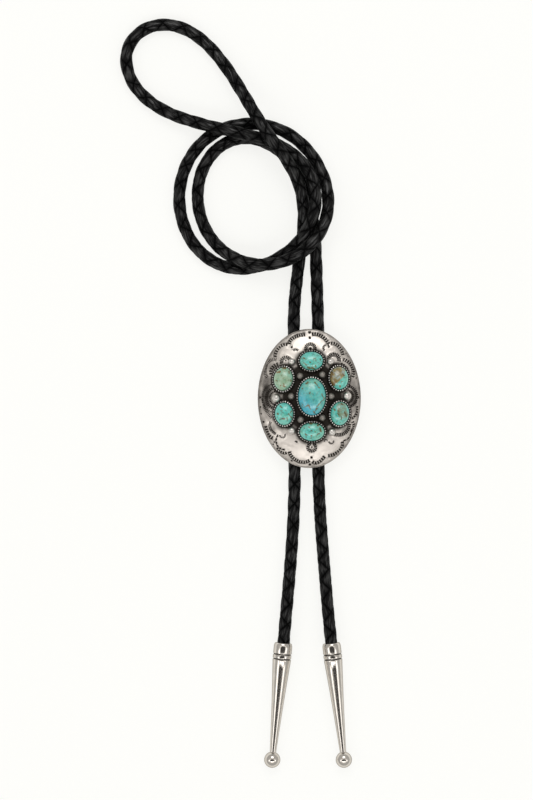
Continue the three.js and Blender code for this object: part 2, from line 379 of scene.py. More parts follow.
SILVERS = {
    finish.kind: finish
    for finish in (
        SilverFinish(Silver.TIP, bright=(0.69, 0.645, 0.59), roughness=0.13, scratch_depth=0.0),
        SilverFinish(Silver.SHEET, bright=(0.71, 0.655, 0.60), roughness=0.36),
        SilverFinish(Silver.BEZEL, bright=(0.92, 0.89, 0.85), roughness=0.36, scratch_depth=0.001),
        SilverFinish(Silver.SHOT, bright=(0.76, 0.725, 0.68), roughness=0.36, scratch_depth=0.0),
        SilverFinish(Silver.DULL_SHOT, bright=(0.34, 0.315, 0.285), roughness=0.56, scratch_depth=0.001),
        SilverFinish(Silver.CLIP, bright=(0.62, 0.60, 0.57), roughness=0.34, scratch_depth=0.006),
    )
}


@dataclass(frozen=True)
class BraidedLeather:
    """Black leather lace, read in the braid's own lattice from the "braid" map."""

    pitch: float
    girth: float
    black: tuple[float, float, float] = (0.0018, 0.0018, 0.0019)
    # colour of the crowns: rubbed leather with a painted highlight
    worn_and_highlight: tuple[float, float, float] = (0.034, 0.0335, 0.033)

    def material(self) -> bpy.types.Material:
        """Build it.

        Returns:
            A material with dark seams, lengthwise creases, and crowns lightened as rubbed leather and as a
            painted highlight.
        """
        bench = ShaderBench("leather_braid")
        lattice = bench.node("ShaderNodeUVMap", {"uv_map": "braid"}, {})
        first, second, _ = bench.axes(lattice)
        first_id = (first + 0.5).floor()
        second_id = (second + 0.5).floor()
        first_off = abs(first - first_id)
        second_off = abs(second - second_id)
        seam = first_off.larger(second_off).step(0.43, 0.5)
        parity = ((first_id + second_id) * 0.5 - ((first_id + second_id) * 0.5).floor()) * 2.0
        lean = (parity - 0.5) * 0.9
        along = (second - first) * (0.25 * self.pitch)
        around = (first + second) * (0.25 * self.girth)
        lace_id = bench.joined(first_id, second_id)
        tone = bench.node("ShaderNodeTexWhiteNoise", {"noise_dimensions": "2D"}, {"Vector": lace_id})
        across = around + lean * along * 0.35
        fibre = bench.joined(across * 1.55, along * 0.15, tone * 7.0)
        crease = bench.noise(fibre, 1.0, detail=3.0, roughness=0.55, distortion=0.5)
        grain = bench.noise(bench.joined(around, along), 3.4, detail=3.0, roughness=0.6)
        crown = (1.0 - first_off * 2.0).smaller(1.0 - second_off * 2.0)
        fold = crease.step(0.42, 0.58)
        # painted top light: the up-facing share of the cord, which gets the painted highlight
        upper = bench.attribute("upper")
        # painted highlight: crowns and their creases are lightened, partly as rubbed leather and partly as
        # painted highlight
        wear_and_highlight = (crown * 1.7).smaller(1.0) * (0.12 + fold * 0.88) * (0.8 + tone * 0.2) * (1.0 - seam) * upper
        colour = bench.mix(wear_and_highlight, self.black, self.worn_and_highlight)
        roughness = 0.40 + (1.0 - fold) * 0.18 + tone * 0.05 + seam * 0.25
        height = fold * 0.8 + grain * 0.10 - seam * 0.9
        return bench.finish(
            Base_Color=colour,
            Roughness=roughness,
            Specular_IOR_Level=0.05,
            Coat_Weight=wear_and_highlight * 0.75,
            Coat_Roughness=0.3,
            Normal=bench.relief(height, 0.6),
        )


@dataclass(frozen=True)
class Stroke:
    """A brown mark in a stone, from one place to another, in millimetres."""

    x0: float
    y0: float
    x1: float
    y1: float
    width: float


def strokes(*rows: tuple[float, float, float, float, float]) -> tuple[Stroke, ...]:
    """Strokes from rows of x0, y0, x1, y1 and width."""
    return tuple(Stroke(*row) for row in rows)


@dataclass(frozen=True)
class Turquoise:
    """Polished turquoise with brown matrix, on a stone of its own middle and size."""

    name: str
    clear: tuple[float, float, float]
    green: tuple[float, float, float]
    deep: tuple[float, float, float]
    strokes: tuple[Stroke, ...]
    brown: tuple[float, float, float] = (0.155, 0.122, 0.013)
    patch: Stroke | None = None
    patch_colour: tuple[float, float, float] = (0.30, 0.19, 0.06)
    patch_fleck: tuple[float, float, float] = (0.36, 0.47, 0.46)
    seed: float = 0.0
    speckle: float = 0.5
    middle: tuple[float, float] = (0.0, 0.0)
    lean: tuple[float, float] = (0.0, 0.0)
    far: tuple[float, float, float] = (0.05, 0.45, 0.6)

    def _near(self, bench: ShaderBench, place: Signal, stroke: Stroke, soft: float) -> Signal:
        """A mask that is 1 on a stroke.

        Args:
            bench: the material's tree.
            place: flat coordinates in millimetres.
            stroke: the mark.
            soft: width of its blurred edge.

        Returns:
            The mask.
        """
        run = (stroke.x1 - stroke.x0, stroke.y1 - stroke.y0, 0.0)
        reach = max(run[0] ** 2 + run[1] ** 2, 1e-6)
        local = bench.vector("SUBTRACT", place, (stroke.x0, stroke.y0, 0.0))
        share = bench.vector("DOT_PRODUCT", local, run, output="Value") * (1 / reach)
        held = share.larger(0.0).smaller(1.0)
        nearest = bench.vector("SCALE", run, scale=held)
        gap = bench.vector("DISTANCE", local, nearest, output="Value")
        return gap.step(0.62 * stroke.width + soft, 0.62 * stroke.width - 0.5 * soft)

    def material(self) -> bpy.types.Material:
        """Build it.

        Returns:
            A glossy stone material with the stone's own marks.
        """
        bench = ShaderBench(self.name)
        place = bench.place()
        shifted = bench.vector("ADD", place, (self.seed, 1.7 * self.seed, 0.0))
        flat = bench.vector("MULTIPLY", place, (1.0, 1.0, 0.0))
        swirl = bench.node("ShaderNodeTexNoise", {}, {"Vector": shifted, "Scale": 0.95, "Detail": 4.0},
                           "Color")
        shove = bench.vector("SUBTRACT", swirl, (0.5, 0.5, 0.5))
        bent = bench.vector("ADD", flat, bench.vector("SCALE", shove, scale=1.1))
        bent = bench.vector("MULTIPLY", bent, (1.0, 1.0, 0.0))
        broad = bench.noise(shifted, 0.17, detail=3.0, distortion=0.6)
        fine = bench.noise(shifted, 0.75, detail=5.0, roughness=0.6)
        body = bench.mix(broad.step(0.40, 0.58), self.clear, self.green)
        if self.lean != (0.0, 0.0):
            local = bench.vector("SUBTRACT", bent, (*self.middle, 0.0))
            lean = bench.vector("DOT_PRODUCT", local, (*self.lean, 0.0), output="Value")
            share = lean + (broad - 0.5) * 0.8
            body = bench.mix(share.step(-0.7, 1.0) * 0.9, body, self.far)
        body = bench.mix(fine.step(0.48, 0.68) * 0.65, body, self.deep)
        pale = tuple(0.55 * part + 0.28 for part in self.clear)
        body = bench.mix((1.0 - fine).step(0.54, 0.74) * 0.5, body, pale)
        marks = None
        for stroke in self.strokes:
            mark = self._near(bench, bent, stroke, 0.2)
            marks = mark if marks is None else marks.larger(mark)
        web = 1.0 - bench.cells(bench.vector("ADD", bent, (self.seed, 0.0, 0.0)), 0.34, "DISTANCE_TO_EDGE")
        dust = bench.noise(shifted, 1.05, detail=2.0).step(0.62, 0.69) * self.speckle
        vein = (web.step(0.95, 0.99) * fine.step(0.48, 0.6)) * 0.6
        spots = marks.larger(vein).larger(dust)
        halo = spots * fine.step(0.25, 0.7)
        colour = body
        if self.patch is not None:
            wide = self._near(bench, bent, self.patch, 0.55)
            blotch = bench.noise(shifted, 0.62, detail=3.0)
            inner = bench.mix(blotch.step(0.42, 0.6), self.patch_colour, self.patch_fleck)
            deeper = tuple(0.55 * part for part in self.patch_colour)
            inner = bench.mix((1.0 - fine).step(0.45, 0.7), inner, deeper)
            colour = bench.mix(wide * 0.92, colour, inner)
        rust = bench.mix(fine.step(0.3, 0.7), self.brown, tuple(0.4 * part for part in self.brown))
        colour = bench.mix(spots * 0.9 + halo * 0.2, colour, rust)
        pits = 1.0 - spots * 0.6
        return bench.finish(
            Base_Color=colour,
            Roughness=0.17 + spots * 0.16 + fine * 0.05,
            Coat_Weight=0.55,
            Coat_Roughness=0.16,
            IOR=1.68,
            Normal=bench.relief(pits + fine * 0.15, 0.03),
        )


# ---- shared mesh work ------------------------------------------------------


@dataclass
class Dome:
    """The oval dome that the slide's face is raised to."""

    half_width: float = 20.9
    half_height: float = 28.2
    rise: float = 4.0
    fullness: float = 2.2
    apex: float = 11.9

    def radius(self, x: np.ndarray | float, y: np.ndarray | float) -> np.ndarray | float:
        """How far out a place lies: 0 in the middle, 1 at the rim."""
        return np.hypot(x / self.half_width, y / self.half_height)

    def height(self, x: np.ndarray | float, y: np.ndarray | float) -> np.ndarray | float:
        """Height of the face over a place, in millimetres."""
        return self.apex - self.rise * self.radius(x, y) ** self.fullness

    def seat(self, x: float, y: float, lift: float = 0.0, turn: float = 0.0) -> Matrix:
        """A place on the face.

        Args:
            x: across the slide, mm.
            y: along the slide, mm.
            lift: height over the face along its normal, mm.
            turn: degrees about the normal.

        Returns:
            A matrix whose third axis is the face's normal, still in mm.
        """
        step = 0.01
        slope_x = (self.height(x + step, y) - self.height(x - step, y)) / (2 * step)
        slope_y = (self.height(x, y + step) - self.height(x, y - step)) / (2 * step)
        normal = Vector((-slope_x, -slope_y, 1.0)).normalized()
        tilt = Vector((0, 0, 1)).rotation_difference(normal)
        spin = Quaternion((0, 0, 1), math.radians(turn))
        spot = Vector((x, y, self.height(x, y))) + normal * lift
        return Matrix.Translation(spot) @ (tilt @ spin).to_matrix().to_4x4()


def millimetres(bm: bmesh.types.BMesh) -> None:
    """Scale a mesh built in millimetres to metres."""
    bmesh.ops.scale(bm, vec=(MM, MM, MM), verts=bm.verts)


def piece_from(bm: bmesh.types.BMesh, name: str, material: bpy.types.Material,
               crisp: float = 180.0) -> bpy.types.Object:
    """Turn a finished bmesh into an object at the origin.

    Args:
        bm: the mesh, in metres; it is freed.
        name: the object's name.
        material: its finish.
        crisp: edges that turn by more degrees than this aren't shaded smooth.

    Returns:
        The object, in the scene.
    """
    for face in bm.faces:
        face.smooth = True
    for edge in bm.edges:
        edge.smooth = edge.calc_face_angle(0.0) < math.radians(crisp)
    mesh = bpy.data.meshes.new(name)
    bm.to_mesh(mesh)
    bm.free()
    mesh.materials.append(material)
    obj = bpy.data.objects.new(name, mesh)
    bpy.context.scene.collection.objects.link(obj)
    return obj


def paint(bm: bmesh.types.BMesh, name: str, values: np.ndarray) -> None:
    """Store one number a point under a name, in the order of bm.verts."""
    layer = bm.verts.layers.float.new(name)
    for vert, value in zip(bm.verts, values.tolist()):
        vert[layer] = value


def points_of(bm: bmesh.types.BMesh) -> np.ndarray:
    """The mesh's points as rows of x, y, z."""
    return np.array([vert.co for vert in bm.verts], float)


def move_points(bm: bmesh.types.BMesh, places: np.ndarray) -> None:
    """Put the mesh's points at the given rows of x, y, z."""
    for vert, place in zip(bm.verts, places.tolist()):
        vert.co = place


def turned(profile: list[tuple[float, float]], steps: int) -> bmesh.types.BMesh:
    """Turn a profile about Z.

    Args:
        profile: radius and height of each point, from the bottom of the axis to its top.
        steps: faces round the axis.

    Returns:
        A closed mesh with its poles merged and its faces outwards.
    """
    bm = bmesh.new()
    verts = [bm.verts.new((radius, 0.0, height)) for radius, height in profile]
    edges = [bm.edges.new(pair) for pair in zip(verts, verts[1:])]
    bmesh.ops.spin(bm, geom=verts + edges, cent=(0, 0, 0), axis=(0, 0, 1), angle=2 * math.pi,
                   steps=steps, use_merge=True)
    bmesh.ops.remove_doubles(bm, verts=bm.verts, dist=1e-4)
    bmesh.ops.recalc_face_normals(bm, faces=bm.faces)
    return bm


def arc(cx: float, cy: float, radius: float, start: float, end: float,
        steps: int) -> list[tuple[float, float]]:
    """Points on an arc of a profile, from start to end in degrees."""
    angles = [math.radians(start + (end - start) * i / steps) for i in range(steps + 1)]
    return [(cx + radius * math.cos(a), cy + radius * math.sin(a)) for a in angles]


# ---- cord ------------------------------------------------------------------


@dataclass
class BraidedCord:
    """The cord: four leather laces braided round, laid along its route."""

    diameter: float = 5.1
    crown_radius: float = 2.58
    seam_depth: float = 0.21
    pitch: float = 16.4
    lozenge_steps: int = 12
    route: tuple[tuple[float, float, float], ...] = (
        # left tip, left run, clip
        (-10.9, -104.2, 3.8), (-10.4, -99.0, 3.8), (-9.5, -88.7, 3.3), (-7.5, -66.0, 2.6), (-6.1, -42.0, 2.7),
        (-5.9, -22.9, 3.3), (-6.0, -9.1, 3.65), (-6.0, 9.1, 3.65), (-6.3, 24.6, 3.0), (-5.9, 39.2, 2.7),
        (-4.5, 52.5, 2.8),
        # under the ring's lower right, then up on top of its right side
        (-3.1, 62.8, 3.8), (-2.3, 71.8, 6.1), (-2.7, 80.2, 8.1), (-4.6, 87.7, 9.9), (-7.6, 93.8, 11.4),
        (-11.2, 99.4, 12.9),
        # over the crossing and round the drop-shaped loop
        (-15.8, 105.7, 13.1), (-21.1, 113.7, 10.7), (-27.2, 124.2, 6.5), (-33.9, 134.8, 3.6),
        (-41.6, 144.0, 2.7), (-50.2, 150.0, 2.6), (-59.1, 152.0, 2.6), (-67.0, 150.0, 2.6),
        (-72.4, 144.9, 2.6), (-74.4, 137.9, 2.6), (-72.0, 129.0, 2.7), (-65.9, 121.7, 2.8),
        (-56.7, 115.9, 4.3), (-42.9, 111.1, 7.2), (-28.9, 107.7, 8.2),
        # first turn of the ring
        (-19.1, 105.2, 7.8), (-11.2, 102.0, 7.7), (-4.4, 97.1, 8.0), (0.3, 90.5, 9.0), (2.5, 81.5, 10.4),
        (1.2, 72.8, 11.1), (-3.0, 65.1, 10.0), (-10.0, 58.6, 6.9), (-19.2, 54.1, 4.1), (-29.4, 52.8, 2.7),
        (-38.8, 55.6, 2.6), (-46.4, 62.1, 2.6), (-51.2, 71.3, 2.6), (-52.8, 82.0, 2.6), (-50.9, 92.4, 2.6),
        (-45.8, 101.6, 2.6), (-38.0, 108.2, 2.6),
        # second turn of the ring
        (-28.1, 111.4, 2.6), (-18.2, 111.1, 2.6), (-8.6, 107.7, 2.6), (-0.2, 100.5, 2.7), (5.4, 91.0, 3.6),
        (7.7, 80.3, 6.3), (5.7, 70.0, 10.7), (-0.2, 61.4, 13.5), (-9.1, 55.9, 12.6), (-19.4, 54.2, 9.9),
        (-29.1, 56.4, 6.9), (-37.2, 62.0, 4.1), (-43.0, 70.8, 2.7), (-45.3, 81.2, 2.6), (-43.7, 92.0, 2.6),
        (-38.5, 100.4, 2.6), (-31.5, 104.9, 2.6),
        # last stretch of the ring, under the others
        (-23.2, 105.7, 2.6), (-14.8, 102.5, 2.6), (-7.6, 96.3, 2.6), (-2.6, 88.1, 2.6), (0.3, 79.0, 2.6),
        (1.9, 69.6, 2.6),
        # right run, clip, right tip
        (2.6, 60.3, 2.6), (3.1, 47.3, 2.6), (3.6, 29.8, 3.1), (3.8, 9.1, 3.65), (3.8, -9.1, 3.65),
        (3.7, -25.4, 3.3), (4.4, -45.3, 2.7), (6.1, -68.0, 2.6), (7.9, -88.7, 3.3), (8.95, -99.0, 3.8),
        (9.5, -104.2, 3.8),
    )

    def centreline(self, spacing: float = 0.5) -> np.ndarray:
        """The smooth line through the route.

        Args:
            spacing: distance between its points, mm.

        Returns:
            Rows of x, y, z in mm, evenly spaced.
        """
        points = np.array(self.route, float)
        padded = np.vstack([2 * points[0] - points[1], points, 2 * points[-1] - points[-2]])
        shares = np.linspace(0.0, 1.0, 41)[:-1, None]
        parts = []
        for p0, p1, p2, p3 in zip(padded, padded[1:], padded[2:], padded[3:]):
            gap0, gap1, gap2 = (math.sqrt(np.linalg.norm(b - a)) for a, b in ((p0, p1), (p1, p2), (p2, p3)))
            leave = gap1 * ((p1 - p0) / gap0 - (p2 - p0) / (gap0 + gap1) + (p2 - p1) / gap1)
            arrive = gap1 * ((p2 - p1) / gap1 - (p3 - p1) / (gap1 + gap2) + (p3 - p2) / gap2)
            square = -3 * p1 + 3 * p2 - 2 * leave - arrive
            cube = 2 * p1 - 2 * p2 + leave + arrive
            parts.append(p1 + leave * shares + square * shares**2 + cube * shares**3)
        fine = np.vstack([*parts, points[-1]])
        run = np.concatenate([[0.0], np.cumsum(np.linalg.norm(np.diff(fine, axis=0), axis=1))])
        even = np.linspace(0.0, run[-1], round(run[-1] / spacing) + 1)
        return np.column_stack([np.interp(even, run, fine[:, axis]) for axis in range(3)])

    @staticmethod
    def _frames(line: np.ndarray) -> tuple[np.ndarray, np.ndarray, np.ndarray]:
        """Directions along the line that turn with it and never twist about it.

        Args:
            line: the centreline.

        Returns:
            At each point the direction along the cord, the one that starts upwards, and the third.
        """
        along = np.gradient(line, axis=0)
        along /= np.linalg.norm(along, axis=1)[:, None]
        up = np.zeros_like(along)
        guide = np.array([0.0, 0.0, 1.0])
        for i, direction in enumerate(along):
            guide = guide - direction * (guide @ direction)
            guide = guide / np.linalg.norm(guide)
            up[i] = guide
        return along, up, np.cross(along, up)

    def build(self, material: bpy.types.Material) -> tuple[bpy.types.Object, np.ndarray]:
        """Make the braided tube.

        Its points sit on a lattice whose lines are the seams between the laces,
        so that a seam always follows an edge of the mesh.

        Args:
            material: the leather.

        Returns:
            The cord, and its centreline in metres.
        """
        line = self.centreline()
        along, up, side = self._frames(line)
        length = float(np.linalg.norm(np.diff(line, axis=0), axis=1).sum())
        turns = length / self.pitch
        rows = math.ceil(4 * turns + 3)
        bm = bmesh.new()
        bmesh.ops.create_grid(bm, x_segments=2 * self.lozenge_steps, y_segments=rows * self.lozenge_steps,
                              size=0.5)
        grid = points_of(bm)
        first = (grid[:, 0] + 0.5) * 2 - 0.5
        second = (grid[:, 1] + 0.5) * rows - 0.5
        uv = bm.loops.layers.uv.new("braid")
        lattice = np.column_stack([first, second]).tolist()
        for index, vert in enumerate(bm.verts):
            vert.index = index
        for face in bm.faces:
            for loop in face.loops:
                loop[uv].uv = lattice[loop.vert.index]
        run = (second - first) / 4 * self.pitch
        turn = (first + second) / 4
        lap = run / length
        turn = turn + 0.05 * np.sin(23.0 * lap + 0.7) + 0.03 * np.sin(71.0 * lap)
        run = run + 0.5 * np.sin(97.0 * lap) + 0.35 * np.sin(211.0 * lap + 1.0)
        radius = self._radius(first, second)
        place = np.clip(run, 0.0, length) / length * (len(line) - 1)
        low = np.minimum(place.astype(int), len(line) - 2)
        share = (place - low)[:, None]
        centre, ahead, top, across = (
            array[low] * (1 - share) + array[low + 1] * share for array in (line, along, up, side)
        )
        past = run - np.clip(run, 0.0, length)
        centre = centre + ahead * past[:, None]
        angle = 2 * math.pi * turn
        spoke = top * np.cos(angle)[:, None] + across * np.sin(angle)[:, None]
        move_points(bm, centre + spoke * radius[:, None])
        # painted top light: points facing upwards get the leather's painted highlight, the sides are left
        # black
        paint(bm, "upper", 0.08 + 0.92 * np.clip((spoke[:, 2] - 0.1) * 1.35, 0.0, 1.0))
        bmesh.ops.remove_doubles(bm, verts=bm.verts, dist=0.02)
        for end, outwards in ((line[0], -along[0]), (line[-1], along[-1])):
            bmesh.ops.bisect_plane(bm, geom=bm.verts[:] + bm.edges[:] + bm.faces[:], dist=1e-5,
                                   plane_co=end, plane_no=outwards, clear_outer=True)
            bmesh.ops.holes_fill(bm, edges=self._cut_edges(bm, Vector(end), Vector(outwards)))
        bmesh.ops.recalc_face_normals(bm, faces=bm.faces)
        millimetres(bm)
        return piece_from(bm, "cord_braid", material), line * MM

    @staticmethod
    def _cut_edges(bm: bmesh.types.BMesh, end: Vector, outwards: Vector) -> list[bmesh.types.BMEdge]:
        """The open edges in the plane of one cut end.

        Args:
            bm: the tube, in mm.
            end: the middle of the cut.
            outwards: the cut's normal.

        Returns:
            The edges round the cut.
        """
        edges = []
        for edge in bm.edges:
            if not edge.is_boundary:
                continue
            offset = edge.verts[0].co - end
            if abs(offset @ outwards) < 1e-3 and offset.length < 4.0:
                edges.append(edge)
        return edges

    def _radius(self, first: np.ndarray, second: np.ndarray) -> np.ndarray:
        """Distance from the centreline to the surface.

        Args:
            first: place across the laces that run one way.
            second: place across the laces that run the other way.

        Returns:
            Radii in mm, least in the seams.
        """
        first_id = np.floor(first + 0.5)
        second_id = np.floor(second + 0.5)
        first_off = 2 * np.abs(first - first_id)
        second_off = 2 * np.abs(second - second_id)
        over = (first_id + second_id) % 2 == 0
        across = np.where(over, first_off, second_off)
        lengthwise = np.where(over, second_off, first_off)
        pillow = (1 - across**2.4) * (1 - lengthwise**3.6)
        lace = ((first_id + second_id) % 4).astype(int)
        knot = np.clip(second_id - first_id + 8, 0, 511).astype(int)
        unevenness = np.random.default_rng(11).uniform(-0.05, 0.02, (4, 512))[lace, knot]
        return self.crown_radius - self.seam_depth * (1 - pillow) + unevenness * pillow


# ---- tips ------------------------------------------------------------------


@dataclass
class TurnedTip:
    """A turned tip: grooved collar, long taper, ball, and a socket for the cord."""

    name: str
    mouth: tuple[float, float]
    ball: tuple[float, float]
    mouth_z: float = 3.8
    collar_radius: float = 3.75
    mouth_round: float = 0.6
    mouth_length: float = 1.8
    grooves: tuple[float, ...] = (4.56, 6.5)
    groove_half_width: float = 0.26
    groove_depth: float = 0.34
    taper_start: float = 7.4
    taper_waist: float = 0.12
    neck_radius: float = 1.28
    ball_radius: float = 3.3
    ball_centre: float = 47.7
    socket_depth: float = 5.0
    socket_radius: float = 2.85

    def _profile(self) -> list[tuple[float, float]]:
        """Radius and distance from the mouth, from the socket's floor round to the ball's end."""
        rim = self.collar_radius
        inner = self.socket_radius
        points = [(0.0, self.socket_depth), (inner, self.socket_depth), (inner, 0.35)]
        points += arc(self.socket_radius + 0.25, 0.25, 0.25, 180, 270, 3)
        for turn in range(7):
            lift = math.radians(15 * turn)
            width = rim - self.mouth_round * (1 - math.sin(lift))
            points.append((width, self.mouth_length * (1 - math.cos(lift))))
        for groove in self.grooves:
            half = self.groove_half_width
            bottom = rim - self.groove_depth
            points += [(rim, groove - half - 0.12), (rim - 0.03, groove - half)]
            points += [(bottom, groove - 0.4 * half), (bottom, groove + 0.4 * half)]
            points += [(rim - 0.03, groove + half), (rim, groove + half + 0.12)]
        points += [(rim, self.taper_start - 0.15), (rim - 0.04, self.taper_start)]
        neck = math.asin(self.neck_radius / self.ball_radius)
        end = self.ball_centre - self.ball_radius * math.cos(neck)
        for i in range(1, 12):
            share = i / 12
            width = rim - 0.04 + (self.neck_radius - rim + 0.04) * share
            along = self.taper_start + (end - self.taper_start) * share
            points.append((width - self.taper_waist * math.sin(math.pi * share), along))
        for i in range(19):
            angle = neck + (math.pi - neck) * i / 18
            radius = 0.0 if i == 18 else self.ball_radius * math.sin(angle)
            points.append((radius, self.ball_centre - self.ball_radius * math.cos(angle)))
        return points

    def build(self, material: bpy.types.Material) -> bpy.types.Object:
        """Make the tip where it lies.

        Args:
            material: its silver.

        Returns:
            The tip.
        """
        bm = turned(self._profile(), 72)
        heights = points_of(bm)
        depth = self.collar_radius - np.hypot(heights[:, 0], heights[:, 1])
        in_groove = np.zeros(len(heights))
        for groove in self.grooves:
            near = np.exp(-(((heights[:, 2] - groove) / 0.2) ** 2))
            in_groove = np.maximum(in_groove, near * (depth > 0.1))
        socket = (heights[:, 2] > 0.3) & (heights[:, 2] < 5.1) & (depth > 0.85)
        paint(bm, "oxide_and_shade", np.maximum(in_groove, socket * 0.8))
        mouth = Vector((*self.mouth, self.mouth_z))
        ball = Vector((*self.ball, self.ball_radius))
        axis = (ball - mouth).normalized()
        turn = Vector((0, 0, 1)).rotation_difference(axis).to_matrix().to_4x4()
        bm.transform(Matrix.Translation(ball - axis * self.ball_centre) @ turn)
        millimetres(bm)
        return piece_from(bm, f"{self.name}_turned", material, crisp=28.0)


# ---- slide -----------------------------------------------------------------


@dataclass(frozen=True)
class TickBand:
    """A curved row of short stamped ticks with a fine line along it."""

    route: tuple[tuple[float, float], ...]
    width: float = 1.15
    tick: float = 0.98
    line_side: float = -1.0
    weight: float = 1.0


@dataclass(frozen=True)
class Fan:
    """A fan of stamped rays round a place on the sheet."""

    x: float
    y: float
    inner: float
    outer: float
    facing: float
    spread: float
    rays: int
    weight: float = 1.0
    hub: float = 0.0


@dataclass(frozen=True)
class Dot:
    """One small punch mark."""

    x: float
    y: float
    size: float = 0.42


@dataclass
class StampWork:
    """Everything that is punched into the sheet, each piece by its place in mm."""

    bands: tuple[TickBand, ...] = (
        TickBand(((-1.6, 26.0), (-3.5, 25.5), (-5.1, 25.2), (-6.5, 24.5), (-7.6, 23.3), (-8.2, 21.9))),
        TickBand(((0.9, 26.1), (3.3, 26.1), (4.9, 25.4), (6.2, 24.5), (7.1, 23.5), (8.0, 22.0))),
        TickBand(((-8.7, 21.8), (-11.0, 21.5), (-12.6, 20.2), (-13.4, 18.6), (-13.8, 16.6)), weight=0.8),
        TickBand(((8.6, 22.4), (10.5, 22.2), (11.9, 21.1), (12.9, 19.9), (13.5, 18.6), (13.7, 17.4)),
                 weight=0.85),
        TickBand(((-12.6, 14.1), (-14.2, 13.4), (-15.2, 12.3), (-15.7, 11.1), (-15.5, 9.6)), line_side=1.0),
        TickBand(((-13.3, 15.6), (-15.4, 15.5), (-16.9, 14.5), (-17.6, 12.8), (-17.8, 10.7), (-17.0, 8.4)),
                 width=1.3, tick=0.6, weight=0.65),
        TickBand(((13.6, 16.0), (15.2, 15.3), (16.6, 14.3), (17.5, 12.9), (17.9, 11.0), (17.5, 8.5)),
                 weight=0.9),
        TickBand(((12.7, 14.3), (14.2, 13.4), (15.5, 12.0), (16.0, 10.4), (15.9, 8.9)),
                 width=0.7, weight=0.75),
        TickBand(((-18.2, 3.6), (-18.9, 0.8), (-18.7, -1.6), (-18.0, -4.1), (-16.7, -6.0), (-15.3, -7.9)),
                 width=1.2, tick=0.62, line_side=1.0, weight=0.6),
        TickBand(((-15.5, -9.4), (-15.9, -11.2), (-15.2, -12.9), (-13.5, -14.2)),
                 width=0.9, tick=0.5, weight=0.8),
        TickBand(((-17.7, -11.0), (-17.4, -12.4), (-16.9, -13.8), (-16.1, -15.1), (-14.6, -16.0))),
        TickBand(((-12.5, -14.7), (-13.3, -16.5), (-13.2, -18.3), (-12.3, -19.8), (-10.9, -20.5),
                  (-9.8, -20.6)),
                 width=0.45, tick=1.4),
        TickBand(((-13.2, -19.9), (-11.9, -21.4), (-10.6, -22.0), (-9.0, -21.9)), width=0.9),
        TickBand(((-8.0, -21.3), (-7.5, -22.9), (-6.4, -24.1), (-4.9, -25.0), (-3.1, -25.7), (-1.5, -25.7),
                  (0.1, -24.9)), width=1.1),
        TickBand(((1.2, -25.4), (2.4, -26.0), (3.7, -25.8), (4.9, -24.7), (6.2, -23.3)), width=1.1),
        TickBand(((7.4, -23.1), (9.0, -22.9), (10.5, -22.2), (12.0, -21.1), (13.0, -19.8), (13.4, -18.5),
                  (13.1, -17.4)), width=1.1),
        TickBand(((13.6, -17.0), (14.9, -16.7), (16.1, -15.7), (16.7, -14.2), (16.9, -12.2)),
                 width=0.4, tick=1.7),
        TickBand(((19.3, -2.9), (19.5, -4.6), (18.9, -6.7), (18.1, -7.6), (17.2, -8.4)),
                 width=0.8, weight=0.85),
        TickBand(((17.5, -9.2), (18.2, -11.1), (18.1, -13.0), (17.4, -14.4)), width=1.0, weight=0.85),
    )
    fans: tuple[Fan, ...] = (
        Fan(0.45, 20.1, 1.25, 2.5, 90, 250, 13, hub=0.6),
        Fan(10.0, 15.7, 1.3, 2.9, 80, 200, 11),
        Fan(-9.5, 14.8, 1.1, 2.5, 105, 190, 9),
        Fan(1.0, -19.7, 0.9, 2.2, 270, 330, 13, hub=0.35),
        Fan(-13.1, 0.1, 2.5, 3.2, 180, 150, 11, weight=0.85),
        Fan(-13.1, 0.1, 3.7, 4.9, 180, 130, 13, weight=0.9),
        Fan(-13.1, 0.1, 5.7, 6.3, 180, 140, 17, weight=0.6),
        Fan(14.9, 0.8, 2.3, 3.1, 0, 160, 11, weight=0.9),
        Fan(14.9, 0.8, 3.8, 4.9, 0, 150, 15, weight=1.0),
        Fan(-10.9, -14.8, 0.75, 1.35, 285, 210, 7),
        Fan(8.9, -17.3, 0.65, 1.2, 280, 190, 6),
        Fan(6.7, -17.2, 0.3, 0.8, 110, 200, 4),
        Fan(12.0, -10.6, 3.4, 4.9, 300, 130, 13, weight=0.95),
        Fan(6.9, 20.4, 0.9, 1.5, 160, 150, 5),
        Fan(-5.6, 18.7, 0.75, 1.5, 90, 110, 4),
    )
    dots: tuple[Dot, ...] = (
        Dot(0.1, 26.9, 0.62), Dot(0.2, 24.6, 0.5), Dot(-7.2, 20.8, 0.42), Dot(7.9, 20.9, 0.38),
        Dot(15.9, 17.2, 0.42), Dot(15.0, 18.3, 0.34), Dot(19.2, 8.3, 0.42), Dot(20.2, 0.4, 0.5),
        Dot(-20.1, 0.4, 0.6), Dot(-19.4, 8.6, 0.36), Dot(-19.9, -3.4, 0.4), Dot(-19.6, -6.2, 0.4),
        Dot(-18.6, -9.5, 0.45), Dot(-15.9, 17.4, 0.42), Dot(-17.7, 14.0, 0.34), Dot(-5.1, -17.6, 0.4),
        Dot(-5.6, -17.3, 0.3), Dot(0.9, -23.9, 0.5), Dot(-7.2, -25.3, 0.5), Dot(0.2, -26.8, 0.55),
        Dot(-14.6, -18.6, 0.35), Dot(-14.9, -19.6, 0.3), Dot(-14.2, -17.6, 0.3), Dot(7.7, 21.6, 0.35),
        Dot(17.9, -15.6, 0.35), Dot(-9.6, 15.4, 0.3),
    )
    tick_depth: float = 0.3
    dot_depth: float = 0.32
    valley_depth: float = 0.07
    valley_width: float = 1.3
    lip_height: float = 0.035
    lip_place: float = 1.75
    lip_width: float = 0.6
    fan_edge_height: float = 0.06

